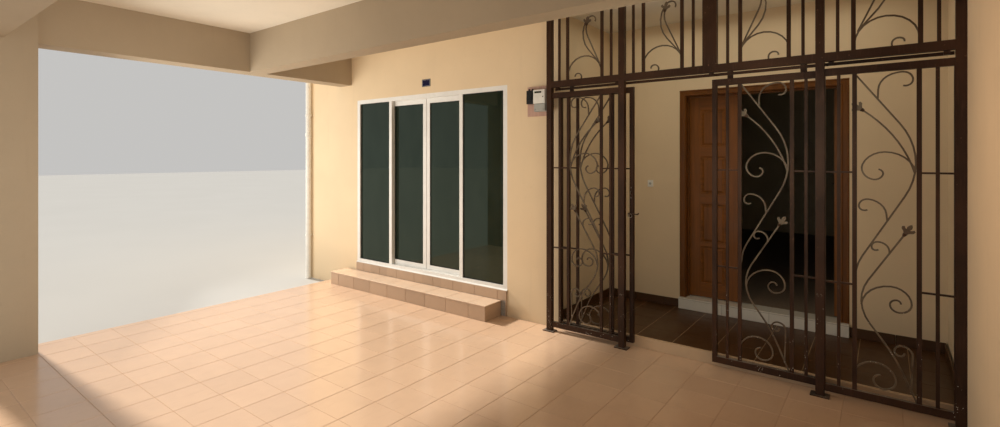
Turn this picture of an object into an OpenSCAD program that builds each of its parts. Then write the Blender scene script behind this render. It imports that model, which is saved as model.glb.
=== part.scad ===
// Single-storey bungalow with a tiled gable roof, a deep front porch, a
// sliding glass door, a panelled timber double door and a wrought-iron
// grille with two sliding gates across the entrance recess.
// Millimetres. The house stands on z = 0 with its front facing -Y, and the
// origin is on the ground under the middle of the ridge.

/* [House] */
// Width of the house across its outer walls
house_w = 10600; // [10200:50:11000]
// Depth of the house from the bedroom front to the back wall
house_d = 11000; // [10800:50:11400]
// Thickness of the plastered walls
wall_t = 150; // [140:5:160]
// Height of the porch floor above the ground
porch_floor_h = 100; // [90:5:110]
// Height of the ceiling above the porch floor
ceiling_h = 3000; // [2950:10:3100]
// Height of the rooms' floor above the ground
house_floor_h = 300; // [280:5:320]
// Thickness of the ceiling boards
board_t = 12; // [9:1:16]

/* [Porch] */
// Width of the porch from the column's outer face to the bedroom wall
porch_w = 6070; // [6050:5:6090]
// Depth of the porch in front of the glass door wall
porch_d = 3750; // [3650:10:3850]
// Distance that the porch stands in from the main side wall
porch_inset = 720; // [650:10:750]
// Width of the corner column along the front
column_w = 300; // [280:5:320]
// Depth of the corner column
column_d = 450; // [400:10:500]
// Height of the porch beams below the ceiling
beam_h = 430; // [380:10:480]
// Width of the side beam and of the front beam
beam_w = 230; // [210:5:250]
// Width of the beam across the middle of the porch
cross_beam_w = 200; // [160:5:230]

/* [Roof] */
// Slope of both sides of the roof in degrees
roof_pitch = 30; // [28:0.5:32]
// Overhang of the eaves beyond the front and back walls
eave_out = 600; // [550:10:650]
// Overhang of the roof beyond the gable walls
verge_out = 300; // [250:10:350]
// Overhang of the porch roof beyond the porch gable
porch_verge_out = 150; // [120:5:170]
// Overhang of the main roof in front of the door wall beside the porch
step_eave_out = 450; // [400:10:500]
// Vertical thickness of the tiled roof
roof_t = 110; // [90:5:130]
// Thickness of the fascia and barge boards
fascia_t = 25; // [20:1:30]
// Height of the fascia and barge boards
fascia_h = 220; // [200:5:240]

/* [Sliding door] */
// Distance of the door opening from the porch's outer plane
slider_inset = 350; // [340:5:380]
// Width of the door opening
slider_w = 2360; // [2320:10:2400]
// Height of the door opening
slider_h = 2100; // [2050:10:2150]
// Height of the sill above the porch floor
slider_sill_h = 260; // [240:5:280]
// Depth of the aluminium frame
slider_depth = 100; // [95:1:110]
// Width of the frame and sash bars
sash_w = 50; // [45:1:55]
// Thickness of the sliding leaves
leaf_depth = 32; // [28:1:34]
// Thickness of the glass
glass_t = 6; // [5:1:8]

/* [Entrance recess] */
// Width of the recess in front of the timber door
recess_w = 2760; // [2750:5:2770]
// Depth of the recess behind the door wall
recess_d = 1130; // [1080:10:1180]
// Height of the recess floor above the ground
recess_floor_h = 190; // [180:5:200]

/* [Timber door] */
// Distance of the door frame from the recess's left wall
door_inset = 756; // [740:2:760]
// Width of the door opening in the wall
door_w = 1390; // [1380:2:1400]
// Height of the door opening
door_h = 2100; // [2080:5:2120]
// Width of the frame's jambs and head
jamb_w = 60; // [55:1:65]
// Width of the small leaf
small_leaf_w = 445; // [435:1:450]
// Thickness of both leaves
door_leaf_t = 40; // [38:1:42]
// Gap at the hinges and above and below the leaves
door_gap = 5; // [5:1:6]

/* [Grille] */
// Width of the square posts
post_w = 50; // [45:1:50]
// Clear width of each bay between two posts
bay_w = 645; // [640:1:646]
// Width of each sliding gate
gate_w = 710; // [709:1:712]
// Distance between the porch floor and the bottom rails
grille_lift = 44; // [40:1:50]
// Height of the bottom and top rails
rail_h = 48; // [42:1:50]
// Height of the panels and gates
panel_h = 2176; // [2170:1:2180]
// Side of the square bar that the scrolls are bent from
scroll_bar = 10; // [8:1:12]
// Side of the thinner upright bars
bar_w = 19; // [16:1:20]
// Side of the uprights beside the scrolls
bay_bar_w = 25; // [22:1:26]

/* [Windows] */
// Width of the bedroom's front window
front_window_w = 1800; // [1700:20:1900]
// Width of the windows in the side and back walls
side_window_w = 1500; // [1400:20:1600]
// Height of the windows
window_h = 1250; // [1150:10:1300]
// Height of the window sills above the ground
window_sill_z = 1050; // [1000:10:1100]

/* [Hidden] */

$fn = 48;

// Outer faces of the house, and the planes of the porch
left_x = -house_w / 2;
right_x = house_w / 2;
front_y = -house_d / 2;
back_y = house_d / 2;
porch_left_x = left_x + porch_inset;
porch_right_x = porch_left_x + porch_w;
door_wall_y = front_y + porch_d;
door_wall_back_y = door_wall_y + wall_t;
ceiling_z = porch_floor_h + ceiling_h;
beam_z = ceiling_z - beam_h;

// Entrance recess, its back wall and the timber door in it
recess_left_x = porch_right_x - recess_w;
recess_back_y = door_wall_y + recess_d;
recess_wall_back_y = recess_back_y + wall_t;
door_x = recess_left_x + door_inset;
door_end_x = door_x + door_w;
door_top_z = house_floor_h + door_h;

// Sliding door
slider_x = porch_left_x + slider_inset;
slider_end_x = slider_x + slider_w;
slider_mid_x = (slider_x + slider_end_x) / 2;
slider_z = porch_floor_h + slider_sill_h;
slider_top_z = slider_z + slider_h;

// Roof: height of its underside at the outer face of the eaves walls
eave_z = ceiling_z + 20;
eave_y = front_y - eave_out;
step_y = door_wall_y - step_eave_out;
soffit_z = beam_z + 30;

plaster = [0.90, 0.78, 0.62];
beam_paint = [0.69, 0.58, 0.46];
ceiling_paint = [0.89, 0.80, 0.67];
tile_peach = [0.85, 0.71, 0.58];
tile_dark = [0.30, 0.20, 0.15];
tile_terracotta = [0.72, 0.48, 0.35];
roof_brown = [0.42, 0.30, 0.24];
board_tan = [0.64, 0.52, 0.40];
white_metal = [0.93, 0.93, 0.91];
glass_green = [0.12, 0.20, 0.17];
timber_brown = [0.48, 0.27, 0.11];
iron_brown = [0.16, 0.10, 0.07];

// Height of the roof's underside at a distance from the ridge
function roof_z(y) = eave_z + (house_d / 2 - abs(y)) * tan(roof_pitch);

// A box between two values on each axis
module block(x, y, z) {
    translate([x[0], y[0], z[0]]) cube([x[1] - x[0], y[1] - y[0], z[1] - z[0]]);
}

// A solid of one side-view outline, from one value of X to another
module along_x(x, outline) {
    translate([x[0], 0, 0]) rotate([90, 0, 90]) linear_extrude(x[1] - x[0]) polygon(outline);
}

// A wall whose top follows the roof's underside on one side of the ridge
module wall_under_roof(x, y, z = 0) {
    along_x(x, [[y[0], z], [y[1], z], [y[1], roof_z(y[1])], [y[0], roof_z(y[0])]]);
}

// Floors and steps

module porch_floor() {
    color(tile_peach)
        block([porch_left_x, porch_right_x], [front_y, door_wall_y], [0, porch_floor_h]);
}

module entry_floor() {
    color(tile_dark)
        block([recess_left_x, porch_right_x], [door_wall_y, recess_back_y], [0, recess_floor_h]);
}

module house_floor() {
    color(tile_peach) linear_extrude(house_floor_h) polygon([
        [left_x + wall_t, door_wall_back_y],
        [recess_left_x - wall_t, door_wall_back_y],
        [recess_left_x - wall_t, recess_wall_back_y],
        [porch_right_x + wall_t, recess_wall_back_y],
        [porch_right_x + wall_t, front_y + wall_t],
        [right_x - wall_t, front_y + wall_t],
        [right_x - wall_t, back_y - wall_t],
        [left_x + wall_t, back_y - wall_t]
    ]);
}

sill_tile_t = 20;
step_d = 280;
step_h = 155;

module front_step() {
    step_back_y = door_wall_y - sill_tile_t;
    color(tile_peach)
        block([slider_x - 170, slider_end_x - 60], [step_back_y - step_d, step_back_y],
              [porch_floor_h, porch_floor_h + step_h]);
}

// Masonry under the sliding door, faced with one band of tiles
module slider_sill() {
    color(tile_terracotta) {
        block([slider_x, slider_end_x], [door_wall_y, door_wall_back_y], [0, slider_z]);
        block([slider_x, slider_end_x], [door_wall_y - sill_tile_t, door_wall_y],
              [porch_floor_h, slider_z]);
    }
}

threshold_nose = 50;

module entry_threshold() {
    color(white_metal) {
        block([door_x, door_end_x], [recess_back_y, recess_wall_back_y], [0, house_floor_h]);
        block([door_x, door_end_x], [recess_back_y - threshold_nose, recess_back_y],
              [recess_floor_h, house_floor_h]);
    }
}

// Walls

module left_wall() {
    color(plaster) along_x([left_x, left_x + wall_t], [
        [door_wall_y, 0], [back_y, 0], [back_y, roof_z(back_y)],
        [0, roof_z(0)], [door_wall_y, roof_z(door_wall_y)]
    ]);
}

// Openings of the windows: centre, width and the wall that holds each one
window_top_z = window_sill_z + window_h;
front_window_x = (porch_right_x + right_x) / 2;
side_window_ys = [-3000, 2600];
back_window_xs = [-3000, 2700];

module window_hole(w) {
    translate([-w / 2, -1, window_sill_z]) cube([w, wall_t + 2, window_h]);
}

module at_side_windows() {
    for (y = side_window_ys) translate([right_x, y, 0]) rotate(90) children();
}

module at_back_windows() {
    for (x = back_window_xs) translate([x, back_y, 0]) rotate(180) children();
}

module right_wall() {
    color(plaster) difference() {
        along_x([right_x - wall_t, right_x], [
            [front_y, 0], [back_y, 0], [back_y, roof_z(back_y)],
            [0, roof_z(0)], [front_y, roof_z(front_y)]
        ]);
        at_side_windows() window_hole(side_window_w);
    }
}

module back_wall() {
    color(plaster) difference() {
        wall_under_roof([left_x + wall_t, right_x - wall_t], [back_y - wall_t, back_y]);
        at_back_windows() window_hole(side_window_w);
    }
}

module bedroom_front_wall() {
    color(plaster) difference() {
        wall_under_roof([porch_right_x, right_x - wall_t], [front_y, front_y + wall_t]);
        translate([front_window_x, front_y, 0]) window_hole(front_window_w);
    }
}

module porch_right_wall() {
    color(plaster)
        block([porch_right_x, porch_right_x + wall_t], [front_y + wall_t, recess_wall_back_y],
              [0, ceiling_z]);
}

// Beside the sliding door this wall stops at the ceiling, and outside the
// porch it goes on up to the roof
module front_wall_left() {
    color(plaster) {
        wall_under_roof([left_x + wall_t, porch_left_x + wall_t], [door_wall_y, door_wall_back_y]);
        block([porch_left_x + wall_t, slider_x], [door_wall_y, door_wall_back_y], [0, ceiling_z]);
    }
}

module front_wall_head() {
    color(plaster)
        block([slider_x, slider_end_x], [door_wall_y, door_wall_back_y], [slider_top_z, ceiling_z]);
}

module front_wall_right() {
    color(plaster)
        block([slider_end_x, recess_left_x], [door_wall_y, door_wall_back_y], [0, ceiling_z]);
}

module entry_left_wall() {
    color(plaster)
        block([recess_left_x - wall_t, recess_left_x], [door_wall_back_y, recess_back_y],
              [0, ceiling_z]);
}

module entry_back_walls() {
    color(plaster) {
        block([recess_left_x - wall_t, door_x], [recess_back_y, recess_wall_back_y], [0, ceiling_z]);
        block([door_end_x, porch_right_x], [recess_back_y, recess_wall_back_y], [0, ceiling_z]);
    }
}

module entry_back_head() {
    color(plaster)
        block([door_x, door_end_x], [recess_back_y, recess_wall_back_y], [door_top_z, ceiling_z]);
}

module porch_gable_wall() {
    color(plaster)
        wall_under_roof([porch_left_x, porch_left_x + wall_t], [front_y, door_wall_y], ceiling_z);
}

// Porch structure

module porch_column() {
    color(beam_paint)
        block([porch_left_x, porch_left_x + column_w], [front_y, front_y + column_d],
              [porch_floor_h, ceiling_z]);
}

module side_beam() {
    color(beam_paint)
        block([porch_left_x, porch_left_x + beam_w], [front_y + column_d, door_wall_y],
              [beam_z, ceiling_z]);
}

module front_beam() {
    color(beam_paint)
        wall_under_roof([porch_left_x + column_w, porch_right_x], [front_y, front_y + beam_w], beam_z);
}

cross_beam_y = door_wall_y - 1420;

module cross_beam() {
    color(beam_paint)
        block([porch_left_x + beam_w, porch_right_x], [cross_beam_y, cross_beam_y + cross_beam_w],
              [beam_z, ceiling_z]);
}

// Boards lie on half the thickness of each wall that they meet
half_wall = wall_t / 2;

module porch_ceiling() {
    color(ceiling_paint) translate([0, 0, ceiling_z]) linear_extrude(board_t) polygon([
        [porch_left_x + wall_t, front_y + beam_w],
        [porch_right_x + half_wall, front_y + beam_w],
        [porch_right_x + half_wall, recess_back_y + half_wall],
        [recess_left_x - half_wall, recess_back_y + half_wall],
        [recess_left_x - half_wall, door_wall_y + half_wall],
        [porch_left_x + wall_t, door_wall_y + half_wall]
    ]);
}

module house_ceiling() {
    color(ceiling_paint) translate([0, 0, ceiling_z]) linear_extrude(board_t) polygon([
        [left_x + wall_t, door_wall_back_y],
        [porch_left_x + wall_t, door_wall_back_y],
        [porch_left_x + wall_t, door_wall_y + half_wall],
        [recess_left_x - half_wall, door_wall_y + half_wall],
        [recess_left_x - half_wall, recess_back_y + half_wall],
        [porch_right_x + half_wall, recess_back_y + half_wall],
        [porch_right_x + half_wall, front_y + wall_t],
        [right_x - wall_t, front_y + wall_t],
        [right_x - wall_t, back_y - wall_t],
        [left_x + wall_t, back_y - wall_t]
    ]);
}

// Roof

roof_left_x = left_x - verge_out;
roof_right_x = right_x + verge_out;
porch_roof_x = porch_left_x - porch_verge_out;

// One slope of the roof between two distances from the ridge
module roof_slope(x, y) {
    along_x(x, [
        [y[0], roof_z(y[0])], [y[1], roof_z(y[1])],
        [y[1], roof_z(y[1]) + roof_t], [y[0], roof_z(y[0]) + roof_t]
    ]);
}

module roof_front() {
    color(roof_brown) {
        roof_slope([roof_left_x, roof_right_x], [step_y, 0]);
        roof_slope([porch_roof_x, roof_right_x], [eave_y, step_y]);
    }
}

module roof_back() {
    color(roof_brown) roof_slope([roof_left_x, roof_right_x], [0, -eave_y]);
}

// A bent cap with a round roll along the ridge
ridge_wing = 190;
ridge_t = 30;
ridge_bed = 0.5;
ridge_roll_r = 40;
ridge_roll_lift = 15;

module ridge_cap() {
    top = roof_z(0) + roof_t + ridge_bed;
    drop = ridge_wing * tan(roof_pitch);
    color(roof_brown) {
        along_x([roof_left_x, roof_right_x], [
            [-ridge_wing, top - drop], [0, top], [ridge_wing, top - drop],
            [ridge_wing, top - drop + ridge_t], [0, top + ridge_t], [-ridge_wing, top - drop + ridge_t]
        ]);
        translate([roof_left_x, 0, top + ridge_t + ridge_roll_lift]) rotate([0, 90, 0])
            cylinder(h = roof_right_x - roof_left_x, r = ridge_roll_r);
    }
}

// Boards in front of the cut ends of the roof at the eaves
module fascia_boards() {
    eave_low_z = soffit_z - 10;
    step_low_z = roof_z(step_y) - 60;
    color(board_tan) {
        block([porch_roof_x, roof_right_x], [eave_y - fascia_t, eave_y],
              [eave_low_z, roof_z(eave_y) + roof_t]);
        block([roof_left_x, roof_right_x], [-eave_y, -eave_y + fascia_t],
              [eave_low_z, roof_z(eave_y) + roof_t]);
        block([roof_left_x, porch_roof_x - fascia_t], [step_y - fascia_t, step_y],
              [step_low_z, roof_z(step_y) + roof_t]);
    }
}

// One sloping board at a verge, flush with the top of the tiles
module verge_board(x, y) {
    function top(v) = roof_z(v) + roof_t;
    along_x(x, [
        [y[0], top(y[0]) - fascia_h], [y[1], top(y[1]) - fascia_h],
        [y[1], top(y[1])], [y[0], top(y[0])]
    ]);
}

module barge_boards() {
    left = [roof_left_x - fascia_t, roof_left_x];
    right = [roof_right_x, roof_right_x + fascia_t];
    color(board_tan) {
        verge_board(left, [step_y, 0]);
        verge_board(left, [0, -eave_y]);
        verge_board(right, [eave_y, 0]);
        verge_board(right, [0, -eave_y]);
        verge_board([porch_roof_x - fascia_t, porch_roof_x], [eave_y, step_y]);
    }
}

// A board that fills the space between a soffit and the roof, from one Y to another
module above_soffit(x, y) {
    base_z = soffit_z + board_t;
    along_x(x, [[y[0], base_z], [y[1], base_z], [y[1], roof_z(y[1])], [y[0], roof_z(y[0])]]);
}

// A level board under the eaves, closed by a board at each verge and by one
// that goes back from there to the corner of the wall
module boxed_eave(x, wall_x) {
    block(x, [eave_y, front_y], [soffit_z, soffit_z + board_t]);
    above_soffit([x[0], x[0] + board_t], [eave_y, front_y]);
    above_soffit([x[1] - board_t, x[1]], [eave_y, front_y]);
    above_soffit([x[0], wall_x[0]], [front_y - board_t, front_y]);
    above_soffit([wall_x[1], x[1]], [front_y - board_t, front_y]);
}

module eave_soffits() {
    color(board_tan) {
        boxed_eave([porch_roof_x, roof_right_x], [porch_left_x, right_x]);
        mirror([0, 1, 0]) boxed_eave([roof_left_x, roof_right_x], [left_x, right_x]);
    }
}

downpipe_r = 37.5;
downpipe_inset = 50;

module corner_downpipe() {
    pipe_y = door_wall_y - downpipe_inset;
    color(white_metal) {
        translate([left_x + downpipe_inset, pipe_y, 0])
            cylinder(h = roof_z(pipe_y - downpipe_r), r = downpipe_r);
        for (z = [600, 2300, 4200])
            block([left_x + downpipe_inset - 15, left_x + downpipe_inset + 15], [pipe_y, door_wall_y],
                  [z, z + 30]);
    }
}

// Sliding door: two fixed lights outside, two sliding leaves behind them

frame_sill_h = 45;
light_y = door_wall_y + 8;
light_depth = 38;
leaf_y = door_wall_y + 56;
leaf_gap = 8;
leaf_clear = 7;
leaf_overlap = 50;
mullion_w = 45;
passage_w = 1080;
light_z = slider_z + frame_sill_h;
light_top_z = slider_top_z - sash_w;
passage_x = slider_mid_x - passage_w / 2;
passage_end_x = slider_mid_x + passage_w / 2;

module slider_frame() {
    y = [door_wall_y, door_wall_y + slider_depth];
    light = [light_y, light_y + light_depth];
    color(white_metal) {
        block([slider_x, slider_x + sash_w], y, [slider_z, slider_top_z]);
        block([slider_end_x - sash_w, slider_end_x], y, [slider_z, slider_top_z]);
        block([slider_x, slider_end_x], y, [slider_z, light_z]);
        block([slider_x, slider_end_x], y, [light_top_z, slider_top_z]);
        block([passage_x - mullion_w, passage_x], light, [light_z, light_top_z]);
        block([passage_end_x, passage_end_x + mullion_w], light, [light_z, light_top_z]);
    }
}

module fixed_glass() {
    mid_y = light_y + light_depth / 2;
    y = [mid_y - glass_t / 2, mid_y + glass_t / 2];
    color(glass_green, 0.6) {
        block([slider_x + sash_w, passage_x - mullion_w], y, [light_z, light_top_z]);
        block([passage_end_x + mullion_w, slider_end_x - sash_w], y, [light_z, light_top_z]);
    }
}

left_leaf_x = [passage_x - leaf_overlap, slider_mid_x - leaf_gap / 2];
right_leaf_x = [slider_mid_x + leaf_gap / 2, passage_end_x + leaf_overlap];
leaf_z = [light_z + leaf_clear, light_top_z - leaf_clear];

module leaf_sash(x) {
    y = [leaf_y, leaf_y + leaf_depth];
    difference() {
        block(x, y, leaf_z);
        block([x[0] + sash_w, x[1] - sash_w], [y[0] - 1, y[1] + 1],
              [leaf_z[0] + sash_w, leaf_z[1] - sash_w]);
    }
}

module leaf_pane(x) {
    mid_y = leaf_y + leaf_depth / 2;
    block([x[0] + sash_w, x[1] - sash_w], [mid_y - glass_t / 2, mid_y + glass_t / 2],
          [leaf_z[0] + sash_w, leaf_z[1] - sash_w]);
}

module left_slider_leaf() { color(white_metal) leaf_sash(left_leaf_x); }
module left_slider_glass() { color(glass_green, 0.6) leaf_pane(left_leaf_x); }
module right_slider_leaf() { color(white_metal) leaf_sash(right_leaf_x); }
module right_slider_glass() { color(glass_green, 0.6) leaf_pane(right_leaf_x); }

// Timber door: a small leaf that stays shut and a main leaf that stands open

meeting_gap = 8;
hinge_out = 10;
door_leaf_z = [house_floor_h + 8, door_top_z - jamb_w - 8];
hinge_y = recess_wall_back_y + hinge_out;
small_hinge_x = door_x + jamb_w + door_gap;
main_hinge_x = door_end_x - jamb_w - door_gap;
main_leaf_w = main_hinge_x - small_hinge_x - small_leaf_w - meeting_gap;

module door_frame() {
    y = [recess_back_y, recess_wall_back_y];
    color(timber_brown) {
        block([door_x, door_x + jamb_w], y, [house_floor_h, door_top_z - jamb_w]);
        block([door_end_x - jamb_w, door_end_x], y, [house_floor_h, door_top_z - jamb_w]);
        block([door_x, door_end_x], y, [door_top_z - jamb_w, door_top_z]);
    }
}

// Height of each row of panels, from the bottom of the leaf
panel_rows = [[132, 512], [547, 942], [1042, 1422], [1522, 1892]];
panel_sink = 8;
panel_bevel = 28;
stile_w = 105;

// A leaf from x = 0 along +X, hinged at the origin, with raised panels
module panelled_leaf(w, columns) {
    leaf_h = door_leaf_z[1] - door_leaf_z[0];
    field_w = (w - stile_w * (columns + 1)) / columns;
    translate([0, -hinge_out - door_leaf_t, door_leaf_z[0]]) difference() {
        cube([w, door_leaf_t, leaf_h]);
        for (column = [0:columns - 1], row = panel_rows)
            translate([stile_w + column * (stile_w + field_w), 0, row[0]])
                panel_grooves(field_w, row[1] - row[0]);
    }
    for (z = hinge_zs) translate([0, 0, door_leaf_z[0] + z]) surface_hinge();
}

hinge_zs = [180, 980, 1760];
hinge_h = 90;
hinge_pin_r = 6;

// The knuckle round the hinge's pin, on a strap that is screwed to the leaf's face
module surface_hinge() {
    cylinder(h = hinge_h, r = hinge_pin_r);
    translate([0, -hinge_out - 0.5, 0]) cube([34, 5.5, hinge_h]);
}

// The sunk border round one panel, on both faces of the leaf
module panel_grooves(w, h) {
    for (y = [-1, door_leaf_t - panel_sink]) translate([0, y, 0]) difference() {
        cube([w, panel_sink + 1, h]);
        translate([panel_bevel, -1, panel_bevel])
            cube([w - 2 * panel_bevel, panel_sink + 3, h - 2 * panel_bevel]);
    }
}

module small_door_leaf() {
    color(timber_brown) translate([small_hinge_x, hinge_y, 0]) panelled_leaf(small_leaf_w, 1);
}

// The main leaf is drawn shut, then turned 90 degrees into the room
module as_main_leaf() {
    translate([main_hinge_x, hinge_y, 0]) rotate(-90) mirror([1, 0, 0]) children();
}

module main_door_leaf() {
    color(timber_brown) as_main_leaf() panelled_leaf(main_leaf_w, 2);
}

handle_z = house_floor_h + 1000;
handle_plate_t = 8;
handle_neck = 36;
lever_t = 12;
lever_side = [[13, -6], [15, 3], [12, 12], [0, 15], [-40, 12], [-90, 7], [-112, 3],
              [-116, -3], [-110, -8], [-85, -8], [-40, -7], [-10, -12], [4, -13]];

module door_handle() {
    color("dimgray") as_main_leaf() for (outer = [-1, 1]) {
        face_y = outer < 0 ? -hinge_out - door_leaf_t : -hinge_out;
        translate([main_leaf_w - 44, face_y, handle_z]) {
            plate_y = outer < 0 ? -handle_plate_t : 0;
            translate([-18, plate_y, 0]) cube([36, handle_plate_t, 220]);
            translate([0, plate_y + handle_plate_t / 2, 150]) rotate([-90 * outer, 0, 0])
                cylinder(h = handle_neck + handle_plate_t / 2, r = 9);
            lever_y = outer < 0 ? -handle_plate_t / 2 - handle_neck : handle_plate_t / 2 + handle_neck + lever_t;
            translate([0, lever_y, 150]) rotate([90, 0, 0]) linear_extrude(lever_t) polygon(lever_side);
        }
    }
}

// Wrought-iron grille

post_y = [door_wall_y - 130, door_wall_y - 80];
post_mid_y = (post_y[0] + post_y[1]) / 2;
gate_depth = 35;
gate_y = [door_wall_y - 65, door_wall_y - 65 + gate_depth];
gate_mid_y = (gate_y[0] + gate_y[1]) / 2;
panel_z = porch_floor_h + grille_lift;
panel_top_z = panel_z + panel_h;
transom_z = panel_top_z + 49;
transom_rail_h = 58;
transom_bars_z = transom_z + transom_rail_h;
right_post_x = porch_right_x - post_w;
inner_right_x = right_post_x - bay_w - post_w;
left_post_x = right_post_x - 2780;
inner_left_x = left_post_x + post_w + bay_w;
opening_mid_x = (inner_left_x + post_w + inner_right_x) / 2;
middle_post_w = 100;
foot_w = 110;
foot_t = 8;
foot_y = [post_y[0] - 20, post_y[1] + 10];

// Uprights of one bay, as fractions of its clear width
outer_bar_at = 0.112;
bay_bar_at = 0.243;
tie_zs = [686, 1426];
scroll_bay_w = bay_w * (1 - 2 * bay_bar_at);

module grille_posts() {
    color(iron_brown) for (x = [left_post_x, inner_left_x, inner_right_x, right_post_x]) {
        block([x, x + post_w], post_y, [porch_floor_h, ceiling_z]);
        foot_x0 = max(x - (foot_w - post_w) / 2, left_post_x - (foot_w - post_w) / 2);
        block([foot_x0, min(foot_x0 + foot_w, porch_right_x)], foot_y,
              [porch_floor_h, porch_floor_h + foot_t]);
    }
}

// One move of a bent bar, drawn flat: [length, 0] goes straight on, and
// [radius, angle] bends left, or right where the angle is negative
function turn_side(move) = move[1] > 0 ? 1 : -1;
function turn_centre(at, heading, move) =
    at + move[0] * turn_side(move) * [-sin(heading), cos(heading)];
function after(at, heading, move) = move[1] == 0
    ? at + move[0] * [cos(heading), sin(heading)]
    : let (end = heading - 90 * turn_side(move) + move[1])
        turn_centre(at, heading, move) + move[0] * [cos(end), sin(end)];

// Points along the middle of the bar, each as [x, y, heading]
bend_step = 15;
bend_chord = 60;
function steps(move) = move[1] == 0 ? 1
    : max(ceil(abs(move[1]) / bend_step), ceil(abs(move[1]) * PI / 180 * move[0] / bend_chord));
function part_of(move, share) = move[1] == 0 ? [move[0] * share, 0] : [move[0], move[1] * share];
function along(at, heading, moves, i = 0) = i == len(moves) ? [] : concat(
    [for (k = [1:steps(moves[i])])
        let (done = part_of(moves[i], k / steps(moves[i])), p = after(at, heading, done))
        [p[0], p[1], heading + done[1]]],
    along(after(at, heading, moves[i]), heading + moves[i][1], moves, i + 1));
function beside(p, d) = [p[0] - d * sin(p[2]), p[1] + d * cos(p[2])];

// A bar bent along a list of moves from a point and a heading
module bent_bar(at, heading, moves) {
    half = scroll_bar / 2;
    path = concat([[at[0], at[1], heading]], along(at, heading, moves));
    translate([0, 0, -half]) linear_extrude(scroll_bar) polygon(concat(
        [for (p = path) beside(p, half)],
        [for (i = [len(path) - 1:-1:0]) beside(path[i], -half)]
    ));
}

// The end of a stem: a cast flower of three petals in a small cup
petal_side = [[4, 4], [8, 14], [19, 27], [33, 36], [37, 50], [27, 57], [17, 47], [10, 44], [13, 58], [9, 72]];

module flower(at, heading) {
    translate(at) rotate(heading - 90) {
        translate([0, 0, -4]) linear_extrude(8) polygon(concat(
            petal_side, [[0, 82]], [for (i = [len(petal_side) - 1:-1:0]) [-petal_side[i][0], petal_side[i][1]]]
        ));
        translate([0, -3, 0]) rotate([-90, 0, 0]) cylinder(h = 19, r1 = 8, r2 = 13);
    }
}

// A bent bar that ends in a flower
module flowering_bar(at, heading, moves) {
    path = along(at, heading, moves);
    tip = path[len(path) - 1];
    bent_bar(at, heading, moves);
    flower([tip[0], tip[1]], tip[2]);
}

// The branch that fills the bay between the two inner uprights
module scroll_branch() {
    bent_bar([7, 2080], -56, [[404, 0], [450, -62], [450, 0], [300, 28]]);
    flowering_bar([305, 1430], 104, [[770, 36]]);
    bent_bar([308, 1440], 100, [[150, 80], [120, 70], [75, 90], [45, 90], [28, 100]]);
    bent_bar([172, 1122], 95, [[45, 0], [100, 80], [45, 100], [28, 120]]);
    bent_bar([184, 915], 95, [[20, 0], [55, 90], [32, 100], [20, 120]]);
    bent_bar([252, 1036], -120, [[350, 0], [270, 64], [120, 0], [900, -12], [196, 0]]);
    flower([252, 1036], 60);
    bent_bar([41, 570], 85, [[150, -85], [100, -90], [60, -90], [45, -90], [32, -90], [22, -90]]);
    bent_bar([287, 58], 88, [[230, 0], [50, 90], [38, 90], [28, 90], [20, 100]]);
    bent_bar([4, 120], 75, [[115, -75], [100, -90], [62, -90], [50, -90], [36, -90]]);
    bent_bar([125, 1906], 88, [[60, 0], [105, -80], [20, 0], [52, -110], [34, -100]]);
}

// A whole panel lying flat, from its lower left corner
module flat_panel(w, side_w, depth) {
    clear_w = w - 2 * side_w;
    inner_h = panel_h - 2 * rail_h;
    for (x = [0, w - side_w]) translate([x, 0, -depth / 2]) cube([side_w, panel_h, depth]);
    for (y = [0, panel_h - rail_h]) translate([0, y, -depth / 2]) cube([w, rail_h, depth]);
    translate([side_w, rail_h, 0]) {
        uprights(clear_w, inner_h);
        translate([clear_w / 2 - scroll_bay_w / 2, 0, 0]) scroll_branch();
        for (y = tie_zs, x = [0, clear_w - bay_bar_at * bay_w])
            translate([x, y, -6]) cube([bay_bar_at * bay_w, 12, 12]);
    }
}

module uprights(w, h) {
    for (side = [0, 1], bar = [[outer_bar_at, bar_w], [bay_bar_at, bay_bar_w]]) {
        at = side == 0 ? bar[0] * bay_w : w - bar[0] * bay_w;
        translate([at - bar[1] / 2, 0, -8]) cube([bar[1], h, 16]);
    }
}

// Stands a flat panel up with its lower left corner at one point
module stand(x, y, z, mirror_w = 0) {
    translate([x + mirror_w, y, z]) rotate([90, 0, 0])
        mirror([mirror_w > 0 ? 1 : 0, 0, 0]) children();
}

fixed_side_w = 6;

module left_fixed_grille() {
    color(iron_brown) stand(left_post_x + post_w, post_mid_y, panel_z, bay_w)
        flat_panel(bay_w, fixed_side_w, 30);
}

module right_fixed_grille() {
    color(iron_brown) stand(inner_right_x + post_w, post_mid_y, panel_z)
        flat_panel(bay_w, fixed_side_w, 30);
}

gate_side_w = 32;
gate_meeting_gap = 8;
left_gate_x = left_post_x + post_w + 40;
right_gate_x = opening_mid_x + gate_meeting_gap / 2;

module left_gate() {
    color(iron_brown) stand(left_gate_x, gate_mid_y, panel_z, gate_w)
        flat_panel(gate_w, gate_side_w, gate_depth);
}

module right_gate() {
    color(iron_brown) stand(right_gate_x, gate_mid_y, panel_z)
        flat_panel(gate_w, gate_side_w, gate_depth);
}

// The gates hang from wheels that run on a flat bar behind the transom
track_h = 22;
track_y = [gate_mid_y - 4, gate_mid_y + 4];
track_z = transom_z - track_h;
wheel_r = 25;
wheel_lift = 5;

module gate_hangers(x) {
    wheel_z = transom_z + wheel_lift + wheel_r;
    color("dimgray") for (at = [x + 120, x + gate_w - 120]) {
        block([at - 20, at + 20], [gate_y[1], gate_y[1] + 6], [panel_top_z - rail_h, wheel_z + 20]);
        translate([at, gate_mid_y - 6, wheel_z]) rotate([-90, 0, 0]) cylinder(h = 12, r = wheel_r);
        translate([at, gate_mid_y + 6, wheel_z]) rotate([-90, 0, 0])
            cylinder(h = gate_y[1] - gate_mid_y - 6, r = 8);
    }
}

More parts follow.
